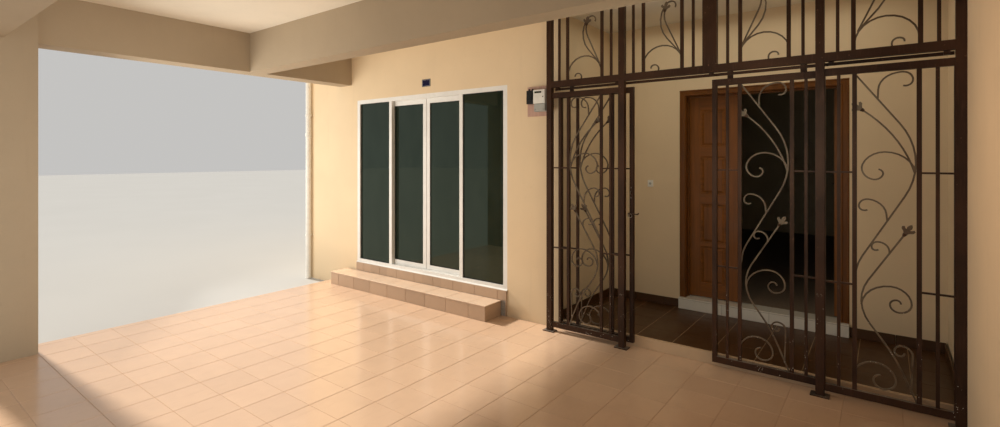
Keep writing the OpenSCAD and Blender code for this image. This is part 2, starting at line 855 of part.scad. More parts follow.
module left_gate_hangers() { gate_hangers(left_gate_x); }
module right_gate_hangers() { gate_hangers(right_gate_x); }

// The bays above the rail: an arch, a hook under it and stems that rise from its side
module transom_bay(w, h) {
    uprights(w, h);
    arch_r = scroll_bay_w / 2 - 5;
    translate([w / 2 - scroll_bay_w / 2, 0, 0]) {
        bent_bar([5, 0], 90, [[40, 0], [arch_r, -180], [40, 0]]);
        bent_bar([196, 0], 96, [[14, 0], [34, -130], [20, -70]]);
        flowering_bar([22, 120], 66, [[280, 0], [160, 35]]);
        bent_bar([34, 138], 51, [[150, 0], [230, 70], [60, 60], [35, 120]]);
    }
}

module grille_transom() {
    bays = [[left_post_x + post_w, inner_left_x],
            [inner_left_x + post_w, opening_mid_x - middle_post_w / 2],
            [opening_mid_x + middle_post_w / 2, inner_right_x],
            [inner_right_x + post_w, right_post_x]];
    rail_x = [left_post_x + post_w, right_post_x];
    color(iron_brown) {
        for (bay = bays) {
            w = bay[1] - bay[0];
            block(bay, post_y, [transom_z, transom_bars_z]);
            stand(bay[0], post_mid_y, transom_bars_z, bay[0] < opening_mid_x ? w : 0)
                transom_bay(w, ceiling_z - transom_bars_z);
        }
        block([opening_mid_x - middle_post_w / 2, opening_mid_x + middle_post_w / 2], post_y,
              [transom_z, ceiling_z]);
        block(rail_x, track_y, [track_z, transom_z]);
        for (x = [rail_x[0] + 20, inner_left_x - 50, opening_mid_x - 15, inner_right_x + post_w + 20,
                  rail_x[1] - 50])
            block([x, x + 30], [post_y[1] - 2, track_y[0]], [track_z, transom_z + 2]);
    }
}

// Windows

window_set_back = 40;
window_bar = 50;
window_depth = 60;

// A frame with one mullion, drawn at the outer face of its wall
module window_frame(w) {
    light_w = (w - 3 * window_bar) / 2;
    translate([-w / 2, window_set_back, window_sill_z]) difference() {
        cube([w, window_depth, window_h]);
        for (x = [window_bar, 2 * window_bar + light_w]) translate([x, -1, window_bar])
            cube([light_w, window_depth + 2, window_h - 2 * window_bar]);
    }
}

module window_panes(w) {
    light_w = (w - 3 * window_bar) / 2;
    for (x = [window_bar, 2 * window_bar + light_w])
        translate([x - w / 2, window_set_back + window_depth / 2 - glass_t / 2, window_sill_z + window_bar])
            cube([light_w, glass_t, window_h - 2 * window_bar]);
}

module window_frames() {
    color(white_metal) {
        translate([front_window_x, front_y, 0]) window_frame(front_window_w);
        at_side_windows() window_frame(side_window_w);
        at_back_windows() window_frame(side_window_w);
    }
}

module window_glass() {
    color(glass_green, 0.6) {
        translate([front_window_x, front_y, 0]) window_panes(front_window_w);
        at_side_windows() window_panes(side_window_w);
        at_back_windows() window_panes(side_window_w);
    }
}

// Small things on the door wall

board_x = [recess_left_x - 347, recess_left_x - 87];
board_y = door_wall_y - 18;
board_z = [2120, 2410];

module meter_board() {
    color([0.72, 0.55, 0.48]) block(board_x, [board_y, door_wall_y], board_z);
}

module meter_units() {
    color("dimgray") {
        block([board_x[0] + 18, board_x[0] + 92], [board_y - 62, board_y], [board_z[0] + 120, board_z[0] + 250]);
        block([board_x[0] + 112, board_x[1] - 14], [board_y - 88, board_y], [board_z[0] + 40, board_z[0] + 250]);
    }
}

module number_plate() {
    color([0.05, 0.07, 0.15])
        block([slider_mid_x - 15, slider_mid_x + 115], [door_wall_y - 4, door_wall_y], [2540, 2625]);
}

porch_floor();
entry_floor();
house_floor();
front_step();
slider_sill();
entry_threshold();
left_wall();
right_wall();
back_wall();
bedroom_front_wall();
porch_right_wall();
front_wall_left();
front_wall_head();
front_wall_right();
entry_left_wall();
entry_back_walls();
entry_back_head();
porch_gable_wall();
porch_column();
side_beam();
front_beam();
cross_beam();
porch_ceiling();
house_ceiling();
roof_front();
roof_back();
ridge_cap();
fascia_boards();
barge_boards();
eave_soffits();
corner_downpipe();
slider_frame();
fixed_glass();
left_slider_leaf();
left_slider_glass();
right_slider_leaf();
right_slider_glass();
door_frame();
small_door_leaf();
main_door_leaf();
door_handle();
grille_posts();
grille_transom();
left_fixed_grille();
right_fixed_grille();
left_gate();
right_gate();
left_gate_hangers();
right_gate_hangers();
window_frames();
window_glass();
meter_board();
meter_units();
number_plate();
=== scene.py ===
"""Bungalow with a front porch: finishes, detailed pieces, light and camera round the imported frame."""
import random
from math import ceil, cos, floor, pi, radians, sin, tau

import bmesh
import bpy
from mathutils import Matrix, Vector


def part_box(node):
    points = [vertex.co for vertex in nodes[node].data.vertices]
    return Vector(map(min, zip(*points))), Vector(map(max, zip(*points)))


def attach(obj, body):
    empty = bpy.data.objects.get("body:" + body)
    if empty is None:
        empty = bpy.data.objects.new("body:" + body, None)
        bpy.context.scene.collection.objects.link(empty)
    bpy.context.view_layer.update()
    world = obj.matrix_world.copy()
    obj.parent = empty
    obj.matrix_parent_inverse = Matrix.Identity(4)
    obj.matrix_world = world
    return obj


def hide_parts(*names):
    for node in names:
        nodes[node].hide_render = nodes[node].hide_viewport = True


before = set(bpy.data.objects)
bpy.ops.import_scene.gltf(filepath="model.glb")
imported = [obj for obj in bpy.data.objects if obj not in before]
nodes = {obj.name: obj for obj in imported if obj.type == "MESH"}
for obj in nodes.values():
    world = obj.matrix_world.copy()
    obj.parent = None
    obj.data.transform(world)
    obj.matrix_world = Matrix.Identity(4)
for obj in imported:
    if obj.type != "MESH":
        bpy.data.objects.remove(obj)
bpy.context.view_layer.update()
scene = bpy.context.scene
HOUSE = "house"

# Camera

CAMERA_AT = (1.12, -6.15, 1.723)
CAMERA_YAW = radians(39.4)
CAMERA_LENS = 18.69
CAMERA_SHIFT = (0.04, -0.0564)
CAMERA_SENSOR = 36

camera = bpy.data.objects.new("camera", bpy.data.cameras.new("camera"))
scene.collection.objects.link(camera)
scene.camera = camera
camera.location = CAMERA_AT
camera.rotation_euler = (pi / 2, 0, CAMERA_YAW)
camera.data.lens = CAMERA_LENS
camera.data.sensor_width = CAMERA_SENSOR
camera.data.shift_x, camera.data.shift_y = CAMERA_SHIFT
camera.data.clip_start = 0.05
camera.data.clip_end = 200

# Colours

CREAM = (0.75, 0.59, 0.39)
TAUPE = (0.42, 0.335, 0.235)
CEILING = (0.80, 0.73, 0.61)
PEACH = (0.63, 0.43, 0.29)
STEP_PEACH = (0.68, 0.50, 0.355)
TERRACOTTA = (0.42, 0.29, 0.195)
DARK_TILE = (0.068, 0.027, 0.007)
GROUT = (0.49, 0.33, 0.22)
TIMBER = (0.20, 0.067, 0.008)
TRIM = (0.40, 0.30, 0.20)
ROOF_CLAY = (0.16, 0.088, 0.056)
ROOF_GROWTH = (0.040, 0.036, 0.028)
IRON = (0.036, 0.016, 0.008)
IRON_BRUSHED = (0.070, 0.034, 0.022)
IRON_CHIPPED = (0.16, 0.075, 0.045)
# Worn paint and painted sheen: the paler bronze of the scroll bars
IRON_WORN_SHEEN = (0.15, 0.115, 0.078)
PAINT_SPATTER = (0.62, 0.58, 0.5)
# Dust and painted sheen: the paler coat on iron faces that turn up
DUST_AND_SHEEN = (0.30, 0.26, 0.22)
STEEL_RUST = (0.12, 0.05, 0.02)

# Finishes


class Finish:
    """One material, coloured in layers over a first shade of its own colour.

    A layer's colour that is given as a number is a shade of the material's own too.
    """

    def __init__(self, name, colour, first=1, **sockets):
        self.colour = colour
        self.base = (*shade(colour, first), 1)
        self.material = bpy.data.materials.new(name)
        self.material.use_nodes = True
        self.tree = self.material.node_tree
        self.shader = self.tree.nodes["Principled BSDF"]
        self.place = self.put("ShaderNodeTexCoord").outputs["Object"]
        for socket, value in sockets.items():
            self.shader.inputs[socket.replace("_", " ")].default_value = value

    def put(self, kind, inputs=None, **settings):
        node = self.tree.nodes.new(kind)
        for key, value in settings.items():
            setattr(node, key, value)
        for key, value in (inputs or {}).items():
            if isinstance(value, bpy.types.NodeSocket):
                self.tree.links.new(value, node.inputs[key])
            else:
                node.inputs[key].default_value = value
        return node

    def set(self, socket, source):
        self.tree.links.new(source, self.shader.inputs[socket])

    def scaled(self, scale):
        mapping = {"Vector": self.place, "Scale": scale}
        return self.put("ShaderNodeMapping", mapping).outputs["Vector"]

    def noise(self, scale, detail=4.0, rough=0.55, source=None):
        inputs = {"Vector": source or self.place, "Scale": scale, "Detail": detail, "Roughness": rough}
        return self.put("ShaderNodeTexNoise", inputs).outputs["Fac"]

    def chance(self, place, pitch):
        """One random value for each cell of a grid."""
        cell = self.put("ShaderNodeVectorMath", {0: place, 1: pitch}, operation="SNAP")
        return self.put("ShaderNodeTexWhiteNoise", {"Vector": cell.outputs[0]}).outputs["Value"]

    def ramp(self, value, low, high, start=0.0, end=1.0):
        inputs = {"Value": value, "From Min": low, "From Max": high, "To Min": start, "To Max": end}
        return self.put("ShaderNodeMapRange", inputs).outputs["Result"]

    def maths(self, operation, a, b=0.0):
        return self.put("ShaderNodeMath", {0: a, 1: b}, operation=operation).outputs["Value"]

    def times(self, a, b):
        return self.maths("MULTIPLY", a, b)

    def absolute(self, a):
        return self.maths("ABSOLUTE", a)

    def layer(self, share, colour):
        if isinstance(colour, (int, float)):
            colour = shade(self.colour, colour)
        inputs = {0: share, 6: self.base, 7: (*colour, 1)}
        self.base = self.put("ShaderNodeMix", inputs, data_type="RGBA").outputs[2]

    def over(self, mask, low, high, most, colour):
        """A layer where the mask nears high, of up to a share of most."""
        self.layer(self.ramp(mask, low, high, 0, most), colour)

    def axis(self, name, source=None):
        return self.put("ShaderNodeSeparateXYZ", {"Vector": source or self.place}).outputs[name]

    def bump(self, height, distance, strength=1.0):
        inputs = {"Height": height, "Distance": distance, "Strength": strength}
        for link in self.shader.inputs["Normal"].links:
            inputs["Normal"] = link.from_socket
        self.set("Normal", self.put("ShaderNodeBump", inputs).outputs["Normal"])

    def done(self):
        """Gives the shader its colour, and the material back."""
        self.set("Base Color", self.base)
        return self.material


def shade(colour, factor):
    return tuple(min(1.0, c * factor) for c in colour)


def drawn_out(across, along, axis):
    """A texture scale with its pattern drawn out along one axis."""
    return [along if i == axis else across for i in range(3)]


def plaster(name, colour, coarse=0.0012, dirt=0.35):
    """Rolled paint on plaster: a fine skin, slow waves in the trowelled coat, dirt near the ground."""
    mat = Finish(name, colour, 0.93, Roughness=0.82, Specular_IOR_Level=0.3)
    cloud = mat.noise(0.9, 5)
    mat.over(cloud, 0.3, 0.7, 1, 1.05)
    mat.over(mat.noise(34, 3), 0.62, 0.8, 0.22, 0.8)
    streaks = mat.noise(2.2, 6, 0.7, mat.scaled((5, 5, 0.35)))
    mat.over(streaks, 0.58, 0.82, 0.25, 0.72)
    low = mat.ramp(mat.axis("Z"), 0.05, 0.55, dirt, 0)
    mat.layer(mat.times(low, mat.ramp(cloud, 0.35, 0.6)), 0.55)
    mat.bump(mat.noise(3.5, 3), 0.012, 0.35)
    mat.bump(mat.noise(190, 2), coarse, 0.5)
    return mat.done()


def tile(name, colour, pitch, origin, rough=0.18, spread=0.03, coat=0.3):
    """Glazed tile: each one a little off the others, with clouding in the glaze and a worn sheen."""
    mat = Finish(name, colour, 1 - spread, Roughness=rough, Coat_Weight=coat, Coat_Roughness=0.1)
    moved = mat.put("ShaderNodeVectorMath", {0: mat.place, 1: origin}, operation="SUBTRACT")
    mat.layer(mat.chance(moved.outputs[0], pitch), 1 + spread)
    mat.over(mat.noise(5, 5), 0.4, 0.75, 0.3, 0.84)
    veins = mat.noise(3.5, 6, 0.75, mat.scaled((6, 1.2, 6)))
    mat.over(veins, 0.55, 0.75, 0.25, 0.72)
    specks = mat.noise(260, 2)
    mat.over(specks, 0.6, 0.75, 0.3, 0.7)
    mat.set("Roughness", mat.ramp(mat.noise(1.3, 6, 0.7), 0.3, 0.75, rough * 0.9, rough * 1.6))
    mat.bump(specks, 0.0002, 0.4)
    return mat.done()


def cement(name, colour):
    """Dull and grainy, for grout, mortar, plinth and screed."""
    mat = Finish(name, colour, 0.75, Roughness=0.9, Specular_IOR_Level=0.2)
    grain = mat.noise(60, 5, 0.65)
    mat.over(grain, 0.3, 0.7, 1, 1.15)
    mat.bump(grain, 0.002, 0.5)
    return mat.done()


def timber(name, colour, along):
    """Varnished wood with its grain along one axis."""
    rough = 0.38
    stretch = drawn_out(34.0, 1.6, along)
    mat = Finish(name, colour, 0.7, Roughness=rough, Specular_IOR_Level=0.35, Coat_Weight=0.08,
                 Coat_Roughness=0.25)
    grain = mat.noise(1.0, 7, 0.62, mat.scaled(stretch))
    fine = mat.noise(4.5, 5, 0.7, mat.scaled(stretch))
    slow = mat.noise(0.22, 3, 0.5, mat.scaled(stretch))
    mat.over(grain, 0.32, 0.68, 1, 1.25)
    mat.over(fine, 0.5, 0.72, 0.5, 0.42)
    mat.over(slow, 0.4, 0.7, 0.4, 1.45)
    mat.set("Roughness", mat.ramp(mat.noise(5, 4), 0.3, 0.7, rough * 0.8, rough * 1.35))
    mat.bump(fine, 0.0006, 0.5)
    return mat.done()


def painted_board(name, colour, along):
    """Brushed paint on sawn board, weathered a little."""
    mat = Finish(name, colour, 0.86, Roughness=0.62, Specular_IOR_Level=0.35)
    brush = mat.noise(2.4, 5, 0.6, mat.scaled(drawn_out(26.0, 0.9, along)))
    weather = mat.noise(1.3, 6, 0.7)
    mat.over(brush, 0.3, 0.7, 1, 1.1)
    mat.over(weather, 0.55, 0.8, 0.5, 0.6)
    mat.bump(brush, 0.0012, 0.5)
    return mat.done()


SCROLL_HALF_DEPTH = (0.0056, 0.0052)


def iron_paint(name, scroll_y=None):
    """Dark paint on iron: brush marks, rust at chips, dust and a painted sheen on what faces up, spatter
    near the floor.

    With scroll_y, the thin bent bars on that plane are a paler bronze: worn paint, and a painted sheen of
    daylight on their faces.
    """
    mat = Finish(name, IRON, 0.7, Specular_IOR_Level=0.22)
    slow = mat.noise(2.0, 4, 0.6)
    mat.over(slow, 0.35, 0.7, 1, 1.6)
    brush = mat.noise(9, 5, 0.65, mat.scaled((9, 9, 0.8)))
    mat.over(brush, 0.54, 0.72, 0.75, IRON_BRUSHED)
    chips = mat.noise(38, 5, 0.7)
    mat.over(chips, 0.66, 0.7, 1, IRON_CHIPPED)
    faces = mat.put("ShaderNodeNewGeometry").outputs["Normal"]
    # Painted sheen over worn paint: the scroll bars' faces turned to the front and back, and their bends,
    # are lightened for daylight glinting on them.
    if scroll_y is not None:
        depth = mat.absolute(mat.maths("SUBTRACT", mat.axis("Y"), scroll_y))
        skew = mat.absolute(mat.times(mat.axis("X", faces), mat.axis("Z", faces)))
        front = mat.ramp(mat.absolute(mat.axis("Y", faces)), 0.9, 0.97)
        bent = mat.maths("MAXIMUM", front, mat.ramp(skew, 0.04, 0.12))
        bent = mat.times(bent, mat.ramp(depth, *SCROLL_HALF_DEPTH))
        # A patchy share of the worn paint and painted sheen on the scroll bars.
        worn = mat.ramp(mat.noise(9, 4, 0.6), 0.35, 0.6, 0.35, 0.9)
        mat.layer(mat.times(bent, worn), IRON_WORN_SHEEN)
    near_floor = mat.ramp(mat.axis("Z"), 0.25, 1.2, 1.0, 0.0)
    drops = mat.put("ShaderNodeTexVoronoi", {"Vector": mat.place, "Scale": 70}).outputs["Distance"]
    spatter = mat.ramp(drops, 0.2, 0.13)
    few = mat.ramp(mat.noise(11, 3), 0.53, 0.6)
    spots = mat.times(mat.times(spatter, few), near_floor)
    mat.over(spots, 0.3, 0.5, 1, PAINT_SPATTER)
    # Dust and painted sheen: faces that turn up are paler, partly dust and partly standing in for daylight
    # on their tops.
    dust = mat.times(mat.ramp(mat.axis("Z", faces), 0.1, 0.75), mat.ramp(slow, 0.3, 0.6))
    mat.layer(mat.times(dust, 0.7), DUST_AND_SHEEN)
    mat.set("Roughness", mat.ramp(brush, 0.3, 0.75, 0.36, 0.6))
    mat.bump(chips, 0.0008, 0.6)
    mat.bump(brush, 0.0006, 0.4)
    return mat.done()


def coated_metal(name, colour):
    """Powder-coated aluminium, with a film of dust and a fine orange peel."""
    rough = 0.32
    mat = Finish(name, colour, Coat_Weight=0.2, Coat_Roughness=0.25)
    dust = mat.noise(6, 6, 0.7)
    mat.over(dust, 0.4, 0.75, 0.6, 0.82)
    grime = mat.noise(2.5, 5, 0.7, mat.scaled((7, 7, 0.6)))
    mat.over(grime, 0.6, 0.8, 0.4, 0.6)
    mat.set("Roughness", mat.ramp(dust, 0.3, 0.7, rough * 0.8, rough * 1.5))
    mat.bump(mat.noise(420, 2), 0.0002, 0.4)
    return mat.done()


def rolled_steel(name, colour, rough=0.35):
    """Bare steel, streaked by rolling, with rust coming through."""
    mat = Finish(name, colour, 0.8, Metallic=1.0)
    streaks = mat.noise(30, 5, 0.7, mat.scaled((4, 30, 30)))
    rust = mat.noise(26, 5, 0.7)
    mat.over(streaks, 0.3, 0.7, 1, 1.2)
    mat.over(rust, 0.56, 0.68, 0.7, STEEL_RUST)
    mat.set("Roughness", mat.ramp(streaks, 0.3, 0.7, rough, rough * 1.6))
    mat.bump(streaks, 0.0003, 0.4)
    return mat.done()


def moulded(name, colour, rough=0.5):
    """Plastic, enamel or rubber with a fine grain and a little grime."""
    mat = Finish(name, colour, Specular_IOR_Level=0.4)
    grime = mat.noise(14, 5, 0.7)
    mat.over(grime, 0.45, 0.75, 0.5, 0.7)
    mat.set("Roughness", mat.ramp(grime, 0.3, 0.7, rough * 0.85, rough * 1.3))
    mat.bump(mat.noise(500, 2), 0.0002, 0.4)
    return mat.done()


def tinted_glass(name):
    """Dark green film on glass, with faint water marks."""
    mat = Finish(name, (0.006, 0.014, 0.010), IOR=1.62, Transmission_Weight=0.12,
                 Specular_Tint=(0.72, 0.82, 0.64, 1))
    marks = mat.noise(5, 6, 0.7, mat.scaled((2, 2, 0.5)))
    mat.over(marks, 0.35, 0.75, 1, (0.014, 0.024, 0.018))
    mat.set("Roughness", mat.ramp(marks, 0.45, 0.85, 0.02, 0.10))
    return mat.done()


def roof_clay(name, colour, pitch, nose):
    """Weathered roof tile: each tile its own tone, dark growth, and pale flecks of grit."""
    mat = Finish(name, colour, 0.88, Roughness=0.85, Specular_IOR_Level=0.25)
    from_ridge = mat.maths("SUBTRACT", mat.absolute(mat.axis("Y")), nose)
    flat = mat.put("ShaderNodeCombineXYZ", {"X": mat.axis("X"), "Y": from_ridge})
    mat.layer(mat.chance(flat.outputs[0], pitch), 1.14)
    mat.over(mat.noise(1.1, 7, 0.72), 0.52, 0.74, 0.6, ROOF_GROWTH)
    stain = mat.noise(5, 6, 0.7, mat.scaled((3, 0.5, 0.5)))
    mat.over(stain, 0.55, 0.75, 0.35, 0.55)
    grit = mat.noise(75, 4, 0.7)
    mat.over(grit, 0.55, 0.8, 0.4, 1.6)
    mat.bump(grit, 0.0025, 0.5)
    return mat.done()


def joint_origin(node, cut_x, cut_y):
    """A corner of the first whole tile on a node's top face."""
    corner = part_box(node)[0]
    return corner.x + cut_x, corner.y + cut_y, 0


def middle_y(node):
    low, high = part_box(node)
    return (low.y + high.y) / 2


FLOOR_PITCH = 0.3
THRESHOLD_PITCH = 0.4
NO_JOINT = 9
BOTH_WAYS = (FLOOR_PITCH, FLOOR_PITCH, NO_JOINT)
ONE_WAY = (FLOOR_PITCH, NO_JOINT, NO_JOINT)
PORCH_CUT = (0.08, 0.15)
STEP_CUT = 0.15
RECESS_CUT = (0.12, 0.27)
RECESS_RIM = 0.03
ROOF_PITCH = radians(30)
ROOF_TILE_W = 0.3
ROOF_COURSE = 0.32
RIDGE_GAP = 0.06
NOSE_OUT = 0.0105

wall_paint = plaster("wall_plaster", CREAM)
beam_paint = plaster("beam_plaster_paint", TAUPE, dirt=0.2)
ceiling_paint = plaster("ceiling_paint", CEILING, coarse=0.0005, dirt=0)
kerb_paint = plaster("kerb_paint", (0.62, 0.44, 0.28), dirt=0.8)
step_joints = joint_origin("front_step", STEP_CUT, -1)
recess_joints = joint_origin("entry_floor", RECESS_CUT[0], RECESS_RIM + RECESS_CUT[1])
peach_tile = tile("peach_floor_tile", PEACH, BOTH_WAYS, joint_origin("porch_floor", *PORCH_CUT))
step_tile = tile("step_top_tile", STEP_PEACH, ONE_WAY, step_joints)
brick_tile = tile("terracotta_tile", TERRACOTTA, ONE_WAY, step_joints, rough=0.3, spread=0.12)
dark_tile = tile("dark_recess_tile", DARK_TILE, BOTH_WAYS, recess_joints, rough=0.38, coat=0.05)
pale_tile = tile("pale_threshold_tile", (0.74, 0.70, 0.62), (THRESHOLD_PITCH, NO_JOINT, NO_JOINT),
                 joint_origin("entry_threshold", 0, 0), rough=0.16)
grout = cement("tile_grout", GROUT)
rough_cement = cement("cement_plinth", (0.42, 0.38, 0.33))
ridge_mortar = cement("ridge_mortar", (0.15, 0.085, 0.055))
# Painted shade: the room's floor is darker than bare screed, so the unlit room reads dark through the
# doorway.
screed = cement("room_floor_screed_painted_shade", (0.20, 0.15, 0.11))
roof_finish = roof_clay(
    "roof_tile_clay", ROOF_CLAY, (ROOF_TILE_W, ROOF_COURSE * cos(ROOF_PITCH), NO_JOINT),
    RIDGE_GAP * cos(ROOF_PITCH) + NOSE_OUT)
board_across = painted_board("trim_paint_across", TRIM, 0)
board_along = painted_board("trim_paint_along", TRIM, 1)
white_coat = coated_metal("white_powder_coat", (0.80, 0.79, 0.75))
dark_glass = tinted_glass("dark_tinted_glass")
wood_up = timber("door_wood_upright", TIMBER, 2)
wood_across = timber("door_wood_across", TIMBER, 0)
wood_inward = timber("door_wood_inward", TIMBER, 1)
FRAME_TIMBER = shade(TIMBER, 0.72)
wood_frame = timber("door_frame_wood", FRAME_TIMBER, 2)
wood_frame_across = timber("door_frame_wood_across", FRAME_TIMBER, 0)
iron = iron_paint("dark_iron_paint")
fixed_iron = iron_paint("fixed_grille_iron_paint", middle_y("left_fixed_grille"))
gate_iron = iron_paint("gate_iron_paint", middle_y("left_gate"))
steel = rolled_steel("dull_steel", (0.34, 0.32, 0.30))
satin_steel = rolled_steel("satin_steel", (0.42, 0.38, 0.33), 0.25)
white_plastic = moulded("white_pipe_plastic", (0.78, 0.76, 0.70))
black_rubber = moulded("black_rubber_seal", (0.012, 0.012, 0.012), 0.65)
grey_plastic = moulded("grey_meter_plastic", (0.42, 0.42, 0.39))
black_plastic = moulded("black_fuse_plastic", (0.015, 0.015, 0.016), 0.4)
pink_board = painted_board("pink_meter_board", (0.52, 0.33, 0.26), 2)
navy_enamel = moulded("navy_enamel", (0.006, 0.008, 0.04), 0.2)
pale_enamel = moulded("pale_enamel_line", (0.6, 0.6, 0.62), 0.25)

NODE_FINISH = {
    wall_paint: ("left_wall", "right_wall", "back_wall", "bedroom_front_wall", "porch_right_wall",
                 "front_wall_left", "front_wall_head", "front_wall_right", "entry_left_wall",
                 "entry_back_walls", "entry_back_head", "porch_gable_wall"),
    beam_paint: ("porch_column", "side_beam", "front_beam", "cross_beam"),
    ceiling_paint: ("porch_ceiling", "house_ceiling"),
    roof_finish: ("roof_front", "roof_back"),
    board_across: ("fascia_boards", "eave_soffits"),
    board_along: ("barge_boards",),
    white_coat: ("slider_frame", "left_slider_leaf", "right_slider_leaf", "window_frames"),
    dark_glass: ("fixed_glass", "left_slider_glass", "right_slider_glass", "window_glass"),
    wood_frame: ("door_frame",),
    satin_steel: ("door_handle",),
    iron: ("grille_posts",),
    fixed_iron: ("grille_transom", "left_fixed_grille", "right_fixed_grille"),
    gate_iron: ("left_gate", "right_gate"),
    screed: ("house_floor",),
}
for finish_material, names in NODE_FINISH.items():
    for name in names:
        mesh = nodes[name].data
        mesh.materials.clear()
        mesh.materials.append(finish_material)


def soften(obj, width, segments=2):
    """Rounds an object's hard edges with a modifier."""
    bevel = obj.modifiers.new("edges", "BEVEL")
    bevel.width = width
    bevel.segments = segments
    bevel.limit_method = "ANGLE"
    bevel.angle_limit = radians(40)
    bevel.harden_normals = True


for names, width, segments in (
        (NODE_FINISH[white_coat], 0.0025, 2),
        (NODE_FINISH[iron] + NODE_FINISH[fixed_iron] + NODE_FINISH[gate_iron], 0.0014, 1),
        (("door_frame", "door_handle"), 0.003, 2),
        (("fascia_boards", "barge_boards"), 0.004, 1)):
    for name in names:
        soften(nodes[name], width, segments)

# Shapes

X, Y, Z = Vector((1, 0, 0)), Vector((0, 1, 0)), Vector((0, 0, 1))
BOX_FACES = ((3, 2, 1, 0), (4, 5, 6, 7), (0, 1, 5, 4), (1, 2, 6, 5), (2, 3, 7, 6), (3, 0, 4, 7))
TILE_FACES = [(i + r, (i + 1) % 4 + r, (i + 1) % 4 + r + 4, i + r + 4) for r in (0, 4) for i in range(4)]
TILE_FACES += [(8, 9, 10, 11), (3, 2, 1, 0)]
TILE_EASE = 0.0015
TILE_GAP = 0.003
TILE_SLIVER = 0.02
TILE_DIP = 0.0003
TILE_CREASE = 20
dice = random.Random(7)


class Shape:
    """Collects boxes, outlines, turned parts and tiles in one mesh."""

    def __init__(self, crease=35):
        self.bm = bmesh.new()
        self.crease = crease

    def points(self, places):
        return [self.bm.verts.new(p) for p in places]

    def join(self, verts, slot=0):
        self.bm.faces.new(verts).material_index = slot

    def face(self, places, slot=0):
        self.join(self.points(places), slot)

    def box(self, low, high, slot=0):
        (x0, y0, z0), (x1, y1, z1) = low, high
        corners = [(x, y, z) for z in (z0, z1) for x, y in ((x0, y0), (x1, y0), (x1, y1), (x0, y1))]
        self.shell(corners, BOX_FACES, slot)

    def shell(self, places, faces, slot=0):
        verts = self.points(places)
        for face in faces:
            self.join([verts[i] for i in face], slot)

    def sheet(self, rows):
        """An open sheet through rows of places, and its rows of vertices."""
        rows = [self.points(row) for row in rows]
        for a, b in zip(rows, rows[1:]):
            for i in range(len(a) - 1):
                self.join((a[i], a[i + 1], b[i + 1], b[i]))
        return rows

    def prism(self, outline, axis, start, end, slot=0):
        """An outline in the plane across one axis, drawn out along it."""
        points = [(*p[:axis], t, *p[axis:]) for t in (start, end) for p in outline]
        n = len(outline)
        sides = [(i, (i + 1) % n, (i + 1) % n + n, i + n) for i in range(n)]
        self.shell(points, sides + [tuple(range(n)), tuple(range(2 * n - 1, n - 1, -1))], slot)

    def ring(self, centre, a, b, radius, sides):
        """Vertices on a circle in the plane of a and b, or one vertex where the radius is nothing."""
        turns = [t * tau / sides for t in range(sides if radius > 1e-6 else 1)]
        return self.points(centre + (a * cos(turn) + b * sin(turn)) * radius for turn in turns)

    def skin(self, rings, slot):
        """Faces from each ring to the next."""
        for a, b in zip(rings, rings[1:]):
            for t in range(max(len(a), len(b))):
                n = t + 1
                loop = dict.fromkeys((a[t % len(a)], a[n % len(a)], b[n % len(b)], b[t % len(b)]))
                if len(loop) > 2:
                    self.join(list(loop), slot)

    def turned(self, profile, centre, axis, slot=0, steps=12):
        """A profile of (radius, distance along the axis) turned round it."""
        axis = Vector(axis).normalized()
        side = axis.orthogonal().normalized()
        other = axis.cross(side)
        self.skin([self.ring(Vector(centre) + axis * along, side, other, radius, steps)
                   for radius, along in profile], slot)

    def tube(self, points, radius, slot=0, sides=10):
        """A round bar along a path."""
        points = [Vector(p) for p in points]
        rings = []
        normal = (points[1] - points[0]).orthogonal().normalized()
        for i, p in enumerate(points):
            ahead = (points[min(i + 1, len(points) - 1)] - points[max(i - 1, 0)]).normalized()
            normal = (normal - ahead * normal.dot(ahead)).normalized()
            rings.append(self.ring(p, normal, ahead.cross(normal), radius, sides))
        self.skin(rings, slot)
        self.join(rings[0][::-1], slot)
        self.join(rings[-1], slot)

    def tiles(self, origin, u, v, size, pitch, start=(0, 0), slot=0, thick=0.008):
        """Tiles with eased edges on a rectangle at origin, with sides along u and v, seen from u x v."""
        self.crease = TILE_CREASE
        origin, out = Vector(origin), u.cross(v)
        for a0, a1 in cuts(size[0], pitch[0], start[0]):
            for b0, b1 in cuts(size[1], pitch[1], start[1]):
                lifts = [dice.uniform(-TILE_DIP, 0) for _ in range(4)]
                eased = [lift - TILE_EASE * 0.7 for lift in lifts]
                points = []
                for ease, ups in ((0, [-thick] * 4), (0, eased), (TILE_EASE, lifts)):
                    a, b, c, d = a0 + ease, a1 - ease, b0 + ease, b1 - ease
                    points += [origin + u * s + v * t + out * up
                               for s, t, up in zip((a, b, b, a), (c, c, d, d), ups)]
                self.shell(points, TILE_FACES, slot)

    def loose(self, name, *materials):
        """The mesh as an object in the scene."""
        mesh = bpy.data.meshes.new(name)
        self.bm.to_mesh(mesh)
        self.bm.free()
        for material in materials:
            mesh.materials.append(material)
        obj = bpy.data.objects.new(name, mesh)
        scene.collection.objects.link(obj)
        return obj

    def make(self, name, slot, *materials, body=HOUSE, replaces=None, bevel=0.0):
        """The mesh as a piece on its body."""
        bmesh.ops.recalc_face_normals(self.bm, faces=self.bm.faces)
        obj = self.loose(name, *materials)
        obj.data.shade_smooth()
        obj.data.set_sharp_from_angle(angle=radians(self.crease))
        if bevel:
            soften(obj, bevel)
        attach(obj, body)
        if replaces:
            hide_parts(replaces)


def cuts(length, pitch, start):
    """Spans of the tiles along one side, from a first cut tile of width start."""
    edges = [0.0]
    at = start or pitch
    while at < length - TILE_SLIVER:
        edges.append(at)
        at += pitch
    edges.append(length)
    return [(a + TILE_GAP / 2, b - TILE_GAP / 2) for a, b in zip(edges, edges[1:])]


def extent(node):
    """Lowest corner, highest corner and size of a node."""
    low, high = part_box(node)
    return low, high, [b - a for a, b in zip(low, high)]


